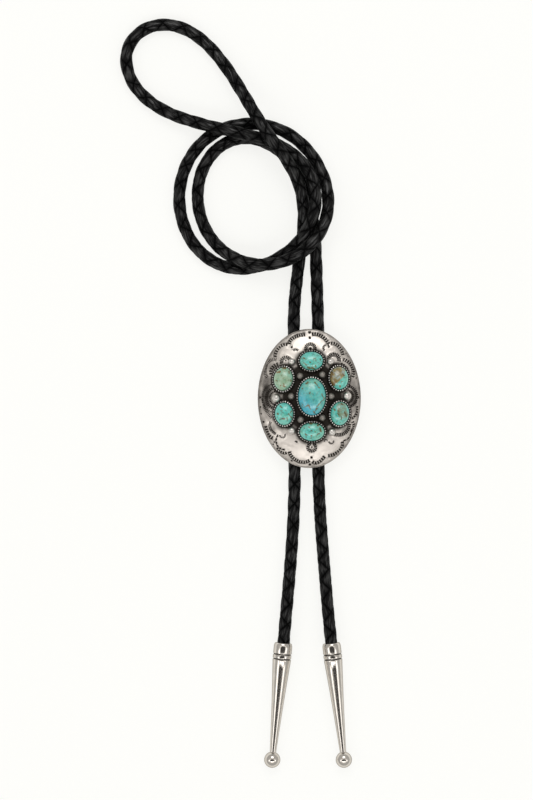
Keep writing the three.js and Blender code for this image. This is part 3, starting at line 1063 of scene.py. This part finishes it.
    @staticmethod
    def _beside(route: tuple[tuple[float, float], ...], x: np.ndarray,
                y: np.ndarray) -> tuple[np.ndarray, np.ndarray, float]:
        """Where points lie by a smooth line.

        Args:
            route: places along the line.
            x: points' x.
            y: points' y.

        Returns:
            Signed distance to the left of the line, distance run along it, and its length.
        """
        knots = np.array(route, float)
        gaps = np.concatenate([[0.0], np.cumsum(np.linalg.norm(np.diff(knots, axis=0), axis=1))])
        even = np.linspace(0.0, gaps[-1], max(12, int(gaps[-1] / 0.3)))
        order = min(3, len(knots) - 1)
        fits = [np.polyfit(gaps, knots[:, axis], order) for axis in range(2)]
        line = np.column_stack([np.polyval(fit, even) for fit in fits])
        best = np.full(x.shape, 1e9)
        offset = np.full(x.shape, 1e9)
        along = np.zeros(x.shape)
        start = 0.0
        for a, b in zip(line, line[1:]):
            run = b - a
            size = float(np.hypot(*run))
            share = np.clip(((x - a[0]) * run[0] + (y - a[1]) * run[1]) / size**2, 0.0, 1.0)
            gap_x = x - a[0] - share * run[0]
            gap_y = y - a[1] - share * run[1]
            gap = np.hypot(gap_x, gap_y)
            nearer = gap < best
            side = np.sign(run[0] * gap_y - run[1] * gap_x)
            offset = np.where(nearer, gap * side, offset)
            along = np.where(nearer, start + share * size, along)
            best = np.where(nearer, gap, best)
            start += size
        return offset, along, start

    def press(self, x: np.ndarray, y: np.ndarray) -> tuple[np.ndarray, np.ndarray]:
        """Work out the stamping at points on the sheet.

        Args:
            x: their x, mm.
            y: their y, mm.

        Returns:
            How deep the sheet is pressed, mm, and how dark each point's stamp is, 0 to 1.
        """
        depth = np.zeros(x.shape)
        dark = np.zeros(x.shape)
        for band in self.bands:
            offset, along, length = self._beside(band.route, x, y)
            gap = np.abs(offset)
            valley = self.valley_depth * np.exp(-((gap / self.valley_width) ** 2))
            lip = self.lip_height * np.exp(-(((gap - self.lip_place) / self.lip_width) ** 2))
            depth += valley - lip
            count = max(2, round(length / band.tick))
            phase = np.abs(((along / length * count) % 1.0) - 0.5) * 2
            inside = np.clip((0.5 * band.width - gap) / 0.14 + 0.5, 0, 1)
            tick = np.clip((0.62 - phase) / 0.3 + 0.5, 0, 1) * inside
            line = np.exp(-(((offset - band.line_side * 0.62 * band.width) / 0.13) ** 2)) * 0.8
            ends = np.clip(np.minimum(along, length - along) / 0.1, 0, 1)
            mark = np.maximum(tick, line * ends) * band.weight
            depth += self.tick_depth * mark
            dark = np.maximum(dark, mark)
        for fan in self.fans:
            reach = np.hypot(x - fan.x, y - fan.y)
            bearing = (np.degrees(np.arctan2(y - fan.y, x - fan.x)) - fan.facing + 180) % 360 - 180
            within = np.clip((0.5 * fan.spread - np.abs(bearing)) / 5 + 0.5, 0, 1)
            phase = np.abs(((bearing / fan.spread + 0.5) * fan.rays) % 1.0 - 0.5) * 2
            middle = 0.5 * (fan.inner + fan.outer)
            half = 0.5 * (fan.outer - fan.inner)
            ring = np.clip((half - np.abs(reach - middle)) / 0.16 + 0.5, 0, 1)
            taper = np.clip((0.68 - phase) / 0.32 + 0.5, 0, 1)
            hub = np.exp(-((reach / max(fan.hub, 0.01)) ** 4)) if fan.hub else np.zeros(x.shape)
            mark = np.maximum(taper * ring * within, hub) * fan.weight
            depth += self.tick_depth * mark
            edge = np.exp(-(((reach - fan.outer - 0.3) / 0.3) ** 2)) * within
            depth -= self.fan_edge_height * edge * fan.weight
            dark = np.maximum(dark, mark)
        for dot in self.dots:
            reach = np.hypot(x - dot.x, y - dot.y) / dot.size
            mark = np.clip((1.15 - reach) / 0.5, 0, 1)
            depth += self.dot_depth * mark
            dark = np.maximum(dark, mark)
        return depth, dark


@dataclass(frozen=True)
class StoneSeat:
    """A cabochon's place and size, and how many teeth its bezel has."""

    name: str
    x: float
    y: float
    half_width: float
    half_height: float
    turn: float
    wall: float
    crown: float
    teeth: int


@dataclass(frozen=True)
class ShotSeat:
    """A silver ball's place on the face and its radius."""

    x: float
    y: float
    radius: float


@dataclass(frozen=True)
class Smudge:
    """A soft oval of tarnish on the face."""

    x: float
    y: float
    half_width: float
    half_height: float
    dark: float


STONES = (
    StoneSeat("stone_centre", 1.0, 0.7, 5.7, 7.7, 0, 2.6, 3.1, 44),
    StoneSeat("stone_top", 0.8, 14.9, 4.8, 3.85, 0, 2.2, 2.2, 29),
    StoneSeat("stone_bottom", 1.0, -13.2, 5.1, 3.75, 0, 2.2, 2.2, 30),
    StoneSeat("stone_upper_left", -10.2, 7.75, 4.0, 4.9, -8, 2.2, 2.2, 31),
    StoneSeat("stone_lower_left", -9.9, -6.1, 3.85, 4.7, 4, 2.2, 2.2, 30),
    StoneSeat("stone_upper_right", 11.6, 8.1, 3.85, 4.8, 6, 2.2, 2.2, 30),
    StoneSeat("stone_lower_right", 11.9, -6.0, 3.9, 4.9, -6, 2.2, 2.2, 30),
)

LARGE_SHOTS = (
    ShotSeat(-7.0, 14.7, 1.5), ShotSeat(8.4, 14.7, 1.5), ShotSeat(-13.1, 0.1, 1.78),
    ShotSeat(14.9, 1.0, 1.75), ShotSeat(-7.0, -12.9, 1.6), ShotSeat(8.9, -13.4, 1.6),
)

SMALL_SHOTS = (
    ShotSeat(-3.7, 9.0, 1.38), ShotSeat(5.1, 9.5, 1.38), ShotSeat(-7.2, 0.9, 1.38),
    ShotSeat(8.6, 0.9, 1.38), ShotSeat(-3.5, -8.5, 1.38), ShotSeat(5.1, -7.7, 1.38),
)


@dataclass
class SilverSlide:
    """The slide: stamped domed sheet, seven bezels and stones, and twelve shots."""

    dome: Dome = field(default_factory=Dome)
    stamps: StampWork = field(default_factory=StampWork)
    sheet: float = 1.2
    columns: int = 224
    rows: int = 302
    bezel_wall: float = 0.5
    bezel_gap: float = 0.15
    bezel_floor: float = 0.5
    bezel_sink: float = 0.7
    shot_seat: float = 0.75
    tooth_depth: float = 0.95
    tooth_pinch: float = 0.04
    faces_per_tooth: int = 8
    smudges: tuple[Smudge, ...] = (
        Smudge(-17.3, 1.5, 3.1, 10.5, 0.74), Smudge(17.9, 1.0, 2.8, 9.0, 0.66),
        Smudge(-15.6, 12.2, 2.4, 4.2, 0.5), Smudge(14.4, -12.4, 2.2, 3.2, 0.55),
        Smudge(-14.6, -11.6, 1.5, 2.8, 0.5),
    )

    def build_sheet(self, material: bpy.types.Material) -> bpy.types.Object:
        """Make the stamped sheet.

        A square grid is drawn out to the oval, raised, stamped, and closed
        underneath by its own border, taken round the rim and inwards.

        Args:
            material: its silver.

        Returns:
            The sheet.
        """
        bm = bmesh.new()
        bmesh.ops.create_grid(bm, x_segments=self.columns, y_segments=self.rows, size=1.0)
        grid = points_of(bm)
        u, v = grid[:, 0], grid[:, 1]
        x = u * np.sqrt(1 - v**2 / 2) * self.dome.half_width
        y = v * np.sqrt(1 - u**2 / 2) * self.dome.half_height
        depth, dark = self.stamps.press(x, y)
        radius = self.dome.radius(x, y)
        calm = np.clip((0.985 - radius) / 0.03, 0, 1)
        hidden = self._under_bezels(x, y)
        depth = depth * calm * (1 - hidden)
        rim = 0.45 * np.clip((radius - 0.975) / 0.025, 0, 1) ** 2
        height = self.dome.height(x, y) - depth - rim
        move_points(bm, np.column_stack([x, y, height]))
        # dark map of the sheet: oxide in the stamps, tarnish, and the painted shadow round the bezels
        paint(bm, "oxide_and_shade", np.maximum(np.minimum(dark * 1.3, 1.0) * calm, self._tarnish_and_shadow(x, y)))
        self._close_underneath(bm)
        millimetres(bm)
        return piece_from(bm, "slide_sheet", material)

    def _close_underneath(self, bm: bmesh.types.BMesh) -> None:
        """Take the border round the rim and in along the underside, and fill it."""
        layer = bm.verts.layers.float["oxide_and_shade"]
        edges = [edge for edge in bm.edges if edge.is_boundary]
        low = self.dome.apex - self.dome.rise
        rings = (
            (1.0, low - 0.62 * self.sheet, 0.1), (0.995, low - 0.85 * self.sheet, 0.15),
            (0.985, low - self.sheet, 0.2), (0.955, None, 0.35), (0.87, None, 0.45), (0.74, None, 0.5),
            (0.58, None, 0.5), (0.4, None, 0.5), (0.2, None, 0.5), (0.05, None, 0.5),
        )
        for share, height, oxide_and_shade in rings:
            made = bmesh.ops.extrude_edge_only(bm, edges=edges)["geom"]
            verts = [item for item in made if isinstance(item, bmesh.types.BMVert)]
            edges = [item for item in made if isinstance(item, bmesh.types.BMEdge) and item.is_boundary]
            for vert in verts:
                out = self.dome.radius(vert.co.x, vert.co.y)
                x = vert.co.x * share / out
                y = vert.co.y * share / out
                level = self.dome.height(x, y) - self.sheet if height is None else height
                vert.co = (x, y, level)
                vert[layer] = oxide_and_shade
        bmesh.ops.holes_fill(bm, edges=edges)
        bmesh.ops.recalc_face_normals(bm, faces=bm.faces)

    def _stone_gap(self, x: np.ndarray, y: np.ndarray, stone: StoneSeat) -> np.ndarray:
        """About how far points lie outside a stone's bezel, mm; negative inside."""
        turn = math.radians(stone.turn)
        local_x = (x - stone.x) * math.cos(turn) + (y - stone.y) * math.sin(turn)
        local_y = -(x - stone.x) * math.sin(turn) + (y - stone.y) * math.cos(turn)
        width = stone.half_width + self.bezel_gap + self.bezel_wall
        height = stone.half_height + self.bezel_gap + self.bezel_wall
        return (np.hypot(local_x / width, local_y / height) - 1) * min(width, height)

    def _under_bezels(self, x: np.ndarray, y: np.ndarray) -> np.ndarray:
        """1 where a bezel covers the sheet, falling to 0 just outside it."""
        covered = np.zeros(x.shape)
        for stone in STONES:
            covered = np.maximum(covered, np.clip((0.35 - self._stone_gap(x, y, stone)) / 0.3, 0, 1))
        return covered

    def _tarnish_and_shadow(self, x: np.ndarray, y: np.ndarray) -> np.ndarray:
        """How dark the sheet is made apart from its stamps: tarnish, and a painted shadow round each bezel.

        Args:
            x: points' x, mm.
            y: points' y, mm.

        Returns:
            0 on polished silver to 1 in the blackened middle.
        """
        nearest = np.full(x.shape, 1e9)
        for stone in STONES:
            nearest = np.minimum(nearest, self._stone_gap(x, y, stone))
        # painted shadow: a soft dark halo on the sheet round each bezel, where the stones shade it
        bezel_shadow = np.exp(-(np.maximum(nearest, 0) / 1.3) ** 1.3)
        middle = np.clip((1.04 - np.hypot((x - 1.0) / 13.0, (y - 0.6) / 15.5)) / 0.16, 0, 1)
        shares = [bezel_shadow * 0.9, middle * 0.84]
        for smudge in self.smudges:
            across = ((x - smudge.x) / smudge.half_width) ** 2
            lengthwise = ((y - smudge.y) / smudge.half_height) ** 2
            shares.append(np.exp(-across - lengthwise) * smudge.dark)
        beside = np.abs(x) / self.dome.half_width
        shares.append((0.40 + 0.16 * beside**2) * np.clip((self.dome.radius(x, y) - 0.78) / 0.2, 0, 1))
        return np.maximum.reduce(shares)

    def build_bezel(self, stone: StoneSeat, material: bpy.types.Material) -> bpy.types.Object:
        """Make one saw-toothed bezel cup.

        Args:
            stone: the stone it holds.
            material: its silver.

        Returns:
            The bezel.
        """
        width = stone.half_width + self.bezel_gap + self.bezel_wall
        height = stone.half_height + self.bezel_gap + self.bezel_wall
        inner = 1 - self.bezel_wall / width
        top = stone.wall
        profile = [
            (0.0, -self.bezel_sink), (1.0, -self.bezel_sink), (1.012, 0.3), (1.0, 0.62 * top),
            (0.995, 0.8 * top), (0.99, 0.92 * top), (0.975, 1.0 * top), (0.95, 1.05 * top),
            (inner + 0.005, 1.07 * top), (inner, 0.7 * top), (inner, self.bezel_floor),
            (0.0, self.bezel_floor),
        ]
        bm = turned(profile, stone.teeth * self.faces_per_tooth)
        spots = points_of(bm)
        x, y, z = spots.T
        angle = np.arctan2(y, x)
        around = self._oval_run(width / height, angle)
        phase = np.abs((around * stone.teeth) % 1.0 - 0.5) * 2
        gap = np.clip((phase - 0.4) / 0.22, 0, 1)
        upper = np.clip((z - 0.72 * top) / (0.2 * top), 0, 1) * (np.hypot(x, y) > inner - 0.01)
        outer = np.clip((np.hypot(x, y) - inner - 0.01) / 0.05, 0, 1)
        z = z - self.tooth_depth * gap * upper
        pinch = 1 - self.tooth_pinch * gap * upper * outer
        move_points(bm, np.column_stack([x * pinch * width, y * pinch * height, z]))
        base = np.clip((0.86 * top - z) / (0.12 * top), 0, 1)
        paint(bm, "oxide_and_shade", np.clip(np.maximum(gap, base), 0, 1))
        bm.transform(self.dome.seat(stone.x, stone.y, 0.0, stone.turn))
        millimetres(bm)
        return piece_from(bm, stone.name.replace("stone", "bezel"), material, crisp=60.0)

    @staticmethod
    def _oval_run(ratio: float, angle: np.ndarray) -> np.ndarray:
        """Share of an oval's outline passed at each profile angle.

        Args:
            ratio: the oval's width over its height.
            angle: angles before the circle is drawn out to the oval.

        Returns:
            Shares from 0 to 1.
        """
        table = np.linspace(-math.pi, math.pi, 721)
        speed = np.hypot(ratio * np.sin(table), np.cos(table))
        run = np.concatenate([[0.0], np.cumsum(0.5 * (speed[1:] + speed[:-1]))])
        return np.interp(angle, table, run / run[-1])

    def build_stone(self, stone: StoneSeat, material: bpy.types.Material) -> bpy.types.Object:
        """Make one cabochon.

        Args:
            stone: its place and size.
            material: its turquoise.

        Returns:
            The stone.
        """
        base = self.bezel_floor + 0.3
        edge = 1 - self.bezel_gap / stone.half_width
        profile = [(0.0, base), (edge - 0.04, base), (edge, base + 0.15), (edge, 0.8 * stone.wall)]
        for i in range(1, 21):
            lift = math.radians(90 * i / 20)
            radius = 0.0 if i == 20 else edge * math.cos(lift) ** 0.92
            profile.append((radius, stone.wall * 0.98 + (stone.crown + 0.02 * stone.wall) * math.sin(lift)))
        bm = turned(profile, 96)
        bmesh.ops.scale(bm, vec=(stone.half_width, stone.half_height, 1.0), verts=bm.verts)
        bm.transform(self.dome.seat(stone.x, stone.y, 0.0, stone.turn))
        millimetres(bm)
        return piece_from(bm, f"{stone.name}_cabochon", material)

    def build_shots(self, name: str, shots: tuple[ShotSeat, ...], oxide_and_shade: float,
                    material: bpy.types.Material) -> bpy.types.Object:
        """Make a set of silver balls, each sunk a little into the face where it is soldered.

        Args:
            name: the piece's name.
            shots: their places.
            oxide_and_shade: how dark their lower halves are.
            material: their silver.

        Returns:
            The shots as one piece.
        """
        bm = bmesh.new()
        layer = bm.verts.layers.float.new("oxide_and_shade")
        for shot in shots:
            made = bmesh.ops.create_uvsphere(bm, u_segments=40, v_segments=24, radius=shot.radius)["verts"]
            for vert in made:
                # painted shade: each ball darkens on its lower part, as oxide round the solder and as shade
                # on its lower sides
                low = min(max((0.2 - vert.co.z / shot.radius) / 0.6, 0.0), 1.0)
                vert[layer] = min(low * 0.75 + oxide_and_shade, 1.0)
            bmesh.ops.transform(bm, matrix=self.dome.seat(shot.x, shot.y, self.shot_seat * shot.radius),
                                verts=made)
        millimetres(bm)
        return piece_from(bm, name, material)

    def build_clip(self, node: bpy.types.Object, material: bpy.types.Material) -> bpy.types.Object:
        """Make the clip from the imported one, with its edges rounded.

        Args:
            node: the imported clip.
            material: its metal.

        Returns:
            The clip.
        """
        bm = bmesh.new()
        bm.from_mesh(node.data)
        bmesh.ops.scale(bm, vec=(1 / MM,) * 3, verts=bm.verts)
        bmesh.ops.remove_doubles(bm, verts=bm.verts, dist=1e-3)
        bmesh.ops.dissolve_limit(bm, angle_limit=math.radians(2), verts=bm.verts, edges=bm.edges)
        sharp = [edge for edge in bm.edges if edge.calc_face_angle(0.0) > math.radians(40)]
        bmesh.ops.bevel(bm, geom=sharp, affect="EDGES", offset=0.22, segments=3, profile=0.5, material=-1,
                        clamp_overlap=True)
        bmesh.ops.triangulate(bm, faces=bm.faces)
        paint(bm, "oxide_and_shade", np.full(len(bm.verts), 0.12))
        millimetres(bm)
        return piece_from(bm, "clip_rounded", material, crisp=32.0)


# ---- the seven turquoises --------------------------------------------------


def turquoises() -> dict[str, Turquoise]:
    """The look of each stone, by its name; marks are placed in millimetres.

    Returns:
        Stone name to finish.
    """
    teal = (0.16, 0.60, 0.49)
    deep = (0.05, 0.40, 0.35)
    centre = Turquoise(
        "turquoise_centre", (0.10, 0.53, 0.48), (0.17, 0.52, 0.40), (0.05, 0.42, 0.45),
        strokes(
            (-1.7, -3.3, -0.2, -2.6, 0.22), (-0.7, -2.2, 0.5, -4.4, 0.2), (-3.0, -2.1, -2.4, -2.6, 0.2),
            (-3.3, -2.9, -2.7, -3.4, 0.25), (4.9, 2.0, 6.0, -0.2, 0.25), (6.0, -0.2, 4.4, -1.6, 0.2),
            (4.4, -1.6, 3.1, -3.2, 0.28), (3.2, -3.9, 2.3, -4.9, 0.3), (1.4, -5.1, 2.4, -5.9, 0.25),
            (-1.3, 6.1, -0.7, 6.6, 0.4), (-2.9, 3.9, -2.7, 4.1, 0.45), (2.0, 6.5, 3.2, 5.2, 0.3),
            (0.1, 2.0, 0.2, 2.4, 0.35), (3.4, 4.8, 4.2, 4.2, 0.2),
        ),
        seed=3.1, speckle=0.35, middle=(0.4, -0.4), lean=(-0.16, -0.15), far=(0.035, 0.47, 0.63),
    )
    top = Turquoise(
        "turquoise_top", (0.13, 0.62, 0.54), teal, deep,
        strokes(
            (-2.3, 16.4, -2.0, 16.2, 0.4), (0.2, 14.8, 0.3, 14.6, 0.4), (4.3, 15.8, 4.4, 15.6, 0.4),
            (-2.0, 14.3, -1.1, 13.3, 0.25), (-0.6, 12.6, 0.3, 12.2, 0.5), (0.9, 12.4, 1.9, 12.0, 0.45),
            (2.4, 13.4, 2.6, 12.7, 0.3), (1.9, 16.4, 2.6, 16.2, 0.2),
        ),
        seed=8.4, speckle=0.75,
    )
    bottom = Turquoise(
        "turquoise_bottom", (0.13, 0.61, 0.53), (0.18, 0.58, 0.44), deep,
        strokes(
            (0.0, -10.1, 1.9, -9.8, 0.5), (3.2, -10.8, 3.6, -10.9, 0.4), (4.3, -12.0, 4.6, -13.1, 0.5),
            (3.0, -14.6, 4.1, -14.0, 0.28), (-0.2, -11.5, 0.1, -11.8, 0.3), (0.7, -12.9, 0.9, -13.1, 0.3),
            (-1.5, -14.3, -1.1, -14.6, 0.3), (0.6, -15.0, 0.9, -15.2, 0.35), (2.1, -13.2, 2.5, -13.5, 0.2),
            (-2.2, -11.8, -2.0, -12.1, 0.25),
        ),
        seed=15.2, speckle=0.75,
    )
    upper_left = Turquoise(
        "turquoise_upper_left", (0.26, 0.53, 0.39), (0.33, 0.50, 0.33), (0.15, 0.41, 0.28),
        strokes(
            (-10.5, 12.3, -9.7, 12.2, 0.45), (-13.0, 10.5, -11.9, 10.9, 0.45), (-13.4, 7.3, -13.1, 7.2, 0.4),
            (-10.3, 5.0, -10.0, 4.8, 0.45), (-7.5, 7.4, -7.4, 6.9, 0.35), (-10.5, 5.9, -10.4, 5.6, 0.25),
            (-8.3, 10.9, -8.2, 10.3, 0.3), (-11.7, 5.4, -11.6, 5.1, 0.2),
        ),
        brown=(0.25, 0.16, 0.025), seed=21.7, speckle=0.6,
    )
    lower_left = Turquoise(
        "turquoise_lower_left", (0.12, 0.62, 0.54), (0.18, 0.62, 0.50), deep,
        strokes(
            (-12.0, -2.9, -11.2, -3.7, 0.3), (-12.8, -6.0, -12.6, -6.3, 0.45), (-7.7, -5.7, -7.2, -5.1, 0.3),
            (-8.4, -6.2, -7.0, -8.0, 0.26), (-10.7, -8.1, -10.2, -8.2, 0.5), (-9.3, -7.8, -8.9, -8.7, 0.25),
            (-12.0, -8.6, -11.5, -8.4, 0.22), (-9.7, -4.8, -9.6, -4.9, 0.18),
        ),
        seed=27.9, speckle=0.5,
    )
    upper_right = Turquoise(
        "turquoise_upper_right", (0.11, 0.60, 0.50), (0.18, 0.58, 0.44), deep,
        strokes(
            (12.3, 5.0, 12.4, 4.9, 0.45), (12.7, 6.6, 13.2, 6.9, 0.25), (8.6, 6.4, 9.9, 5.6, 0.7),
            (9.9, 5.8, 10.4, 7.2, 0.5), (13.4, 10.0, 14.0, 9.1, 0.35), (8.9, 8.6, 9.5, 10.6, 0.5),
        ),
        patch=Stroke(9.3, 8.2, 11.6, 10.6, 4.3),
        patch_colour=(0.34, 0.22, 0.06), patch_fleck=(0.38, 0.45, 0.42), brown=(0.24, 0.13, 0.02),
        seed=33.3, speckle=0.5,
    )
    lower_right = Turquoise(
        "turquoise_lower_right", (0.10, 0.58, 0.50), (0.19, 0.57, 0.45), deep,
        strokes(
            (10.0, -4.3, 10.2, -4.8, 0.4), (11.2, -6.0, 11.8, -6.6, 0.28), (14.3, -5.6, 14.9, -7.2, 0.55),
            (12.6, -2.0, 13.5, -2.3, 0.35), (12.7, -7.2, 12.9, -8.3, 0.3), (11.6, -5.0, 11.7, -5.3, 0.3),
        ),
        patch=Stroke(12.8, -3.7, 13.6, -6.2, 2.9),
        patch_colour=(0.24, 0.31, 0.19), patch_fleck=(0.20, 0.42, 0.33),
        seed=39.6, speckle=0.5,
    )
    return {
        "stone_centre": centre, "stone_top": top, "stone_bottom": bottom, "stone_upper_left": upper_left,
        "stone_lower_left": lower_left, "stone_upper_right": upper_right, "stone_lower_right": lower_right,
    }


# ---- studio ----------------------------------------------------------------


@dataclass
class Softbox:
    """A rectangular soft light that looks at the slide."""

    name: str
    direction: tuple[float, float]
    size: tuple[float, float]
    power: float
    distance: float = 1.1

    def build(self) -> bpy.types.Object:
        """Hang it: direction is degrees off the zenith and compass degrees from +Y towards +X."""
        light = bpy.data.lights.new(self.name, "AREA")
        light.shape = "RECTANGLE"
        light.size, light.size_y = self.size
        light.energy = self.power
        obj = bpy.data.objects.new(self.name, light)
        bpy.context.scene.collection.objects.link(obj)
        off, compass = (math.radians(angle) for angle in self.direction)
        level = math.sin(off)
        towards = Vector((level * math.sin(compass), level * math.cos(compass), math.cos(off)))
        obj.location = towards * self.distance
        obj.rotation_euler = towards.to_track_quat("Z", "Y").to_euler()
        return obj


@dataclass
class Studio:
    """Camera, floor, sky and lights."""

    view_height: float = 324.8
    view_centre: tuple[float, float] = (-17.34, -0.61)
    view_level: float = 5.0
    camera_height: float = 1600.0
    sensor: float = 36.0
    floor_half: float = 3.0
    floor_glow: float = 0.805
    floor_glow_colour: tuple[float, float, float, float] = (1.0, 1.0, 0.972, 1.0)
    sky_strength: float = 1.34
    sky_rings: tuple[tuple[float, tuple[float, float, float]], ...] = (
        (0.0, (0.42, 0.42, 0.41)), (0.3, (0.38, 0.38, 0.372)), (0.6, (0.42, 0.415, 0.405)),
        (0.80, (0.58, 0.57, 0.555)), (0.87, (1.0, 0.985, 0.96)), (1.0, (1.0, 0.985, 0.96)),
    )
    overhead_half: tuple[float, float] = (0.56, 0.32)
    overhead_y: float = -0.1
    overhead_cover: float = 0.97
    overhead_colour: tuple[float, float, float] = (0.02, 0.019, 0.018)
    loop_side_dimming: float = 0.6
    loop_side_colour: tuple[float, float, float] = (0.16, 0.155, 0.15)
    lights: tuple[Softbox, ...] = (
        Softbox("key_softbox", (34.0, 0.0), (0.62, 0.46), 2.6),
        Softbox("front_softbox", (31.0, 180.0), (0.9, 0.24), 1.35),
        Softbox("left_softbox", (46.0, 246.0), (0.38, 0.38), 0.62),
        Softbox("right_softbox", (46.0, 114.0), (0.38, 0.38), 0.55),
    )

    def build(self) -> None:
        """Set up everything that isn't the tie."""
        camera = bpy.data.cameras.new("camera")
        camera.sensor_width = self.sensor
        camera.lens = self.sensor * (self.camera_height - self.view_level) / self.view_height
        camera.clip_end = 20.0
        eye = bpy.data.objects.new("camera", camera)
        eye.location = (self.view_centre[0] * MM, self.view_centre[1] * MM, self.camera_height * MM)
        bpy.context.scene.collection.objects.link(eye)
        bpy.context.scene.camera = eye
        self._floor()
        self._sky()
        for light in self.lights:
            light.build()
        bpy.context.scene.view_settings.view_transform = "Standard"
        log.info("studio: camera, floor, sky and %d softboxes", len(self.lights))

    def _floor(self) -> None:
        """A pale sheet just under the tie."""
        bm = bmesh.new()
        bmesh.ops.create_grid(bm, x_segments=1, y_segments=1, size=self.floor_half)
        bmesh.ops.translate(bm, vec=(0.0, 0.0, -FLOOR_GAP * MM), verts=bm.verts)
        bench = ShaderBench("pale_floor")
        cloud = bench.noise(bench.place(), 0.004, detail=2.0)
        colour = bench.mix(cloud, (0.20, 0.20, 0.197), (0.21, 0.21, 0.206))
        material = bench.finish(
            Base_Color=colour,
            Roughness=0.9,
            Emission_Color=self.floor_glow_colour,
            Emission_Strength=self.floor_glow,
        )
        piece_from(bm, "floor", material)

    def _sky(self) -> None:
        """A white tent, dark over the tie and dimmer on the side of the loop."""
        bench = SkyBench("tent")
        towards = bench.node("ShaderNodeTexCoord", {}, {}, "Generated")
        x, y, z = bench.axes(towards)
        rings = bench.node("ShaderNodeValToRGB", {"stops": list(self.sky_rings)}, {0: z})
        across = x / self.overhead_half[0]
        lengthwise = (y - self.overhead_y) / self.overhead_half[1]
        over = (across * across + lengthwise * lengthwise).step(1.2, 0.7) * z.step(0.0, 0.2)
        loop_side = y.step(0.12, 0.4) * z.step(0.6, 0.8) * self.loop_side_dimming
        dimmed = bench.mix(loop_side, rings, self.loop_side_colour)
        colour = bench.mix(over * self.overhead_cover, dimmed, self.overhead_colour)
        bpy.context.scene.world = bench.finish(Color=colour, Strength=self.sky_strength)


# ---- assembly --------------------------------------------------------------


def mount(piece: bpy.types.Object, node: str | tuple[str, ...]) -> None:
    """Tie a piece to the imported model.

    Args:
        piece: the finished object.
        node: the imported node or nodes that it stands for.
    """
    nodes = (node,) if isinstance(node, str) else node
    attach(piece, "root")
    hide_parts(*nodes)
    log.info("%s: %d faces, for %s", piece.name, len(piece.data.polygons), ", ".join(nodes))


def main() -> None:
    """Build the studio, the cord and its tips, and the slide."""
    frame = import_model()
    Studio().build()

    braid = BraidedCord()
    leather = BraidedLeather(braid.pitch, math.pi * braid.diameter)
    cord, line = braid.build(leather.material())
    mount(cord, "cord")
    tip_silver = SILVERS[Silver.TIP].material()
    for tip in (
        TurnedTip("tip_left", (-10.5, -99.5), (-15.0, -146.8)),
        TurnedTip("tip_right", (9.0, -99.5), (14.1, -146.8)),
    ):
        made = tip.build(tip_silver)
        mount(made, tip.name)

    slide = SilverSlide()
    mount(slide.build_sheet(SILVERS[Silver.SHEET].material()), "slide_plate")
    bezel_silver = SILVERS[Silver.BEZEL].material()
    finishes = turquoises()
    for stone in STONES:
        mount(slide.build_bezel(stone, bezel_silver), "slide_plate")
        mount(slide.build_stone(stone, finishes[stone.name].material()), stone.name)
    for name, shots, oxide_and_shade, kind in (
        ("shots_large", LARGE_SHOTS, 0.0, Silver.SHOT),
        ("shots_small", SMALL_SHOTS, 0.1, Silver.DULL_SHOT),
    ):
        mount(slide.build_shots(name, shots, oxide_and_shade, SILVERS[kind].material()), "slide_plate")
    clip = slide.build_clip(frame["nodes"]["cord_clip"], SILVERS[Silver.CLIP].material())
    mount(clip, "cord_clip")


if __name__ == "__main__":
    main()
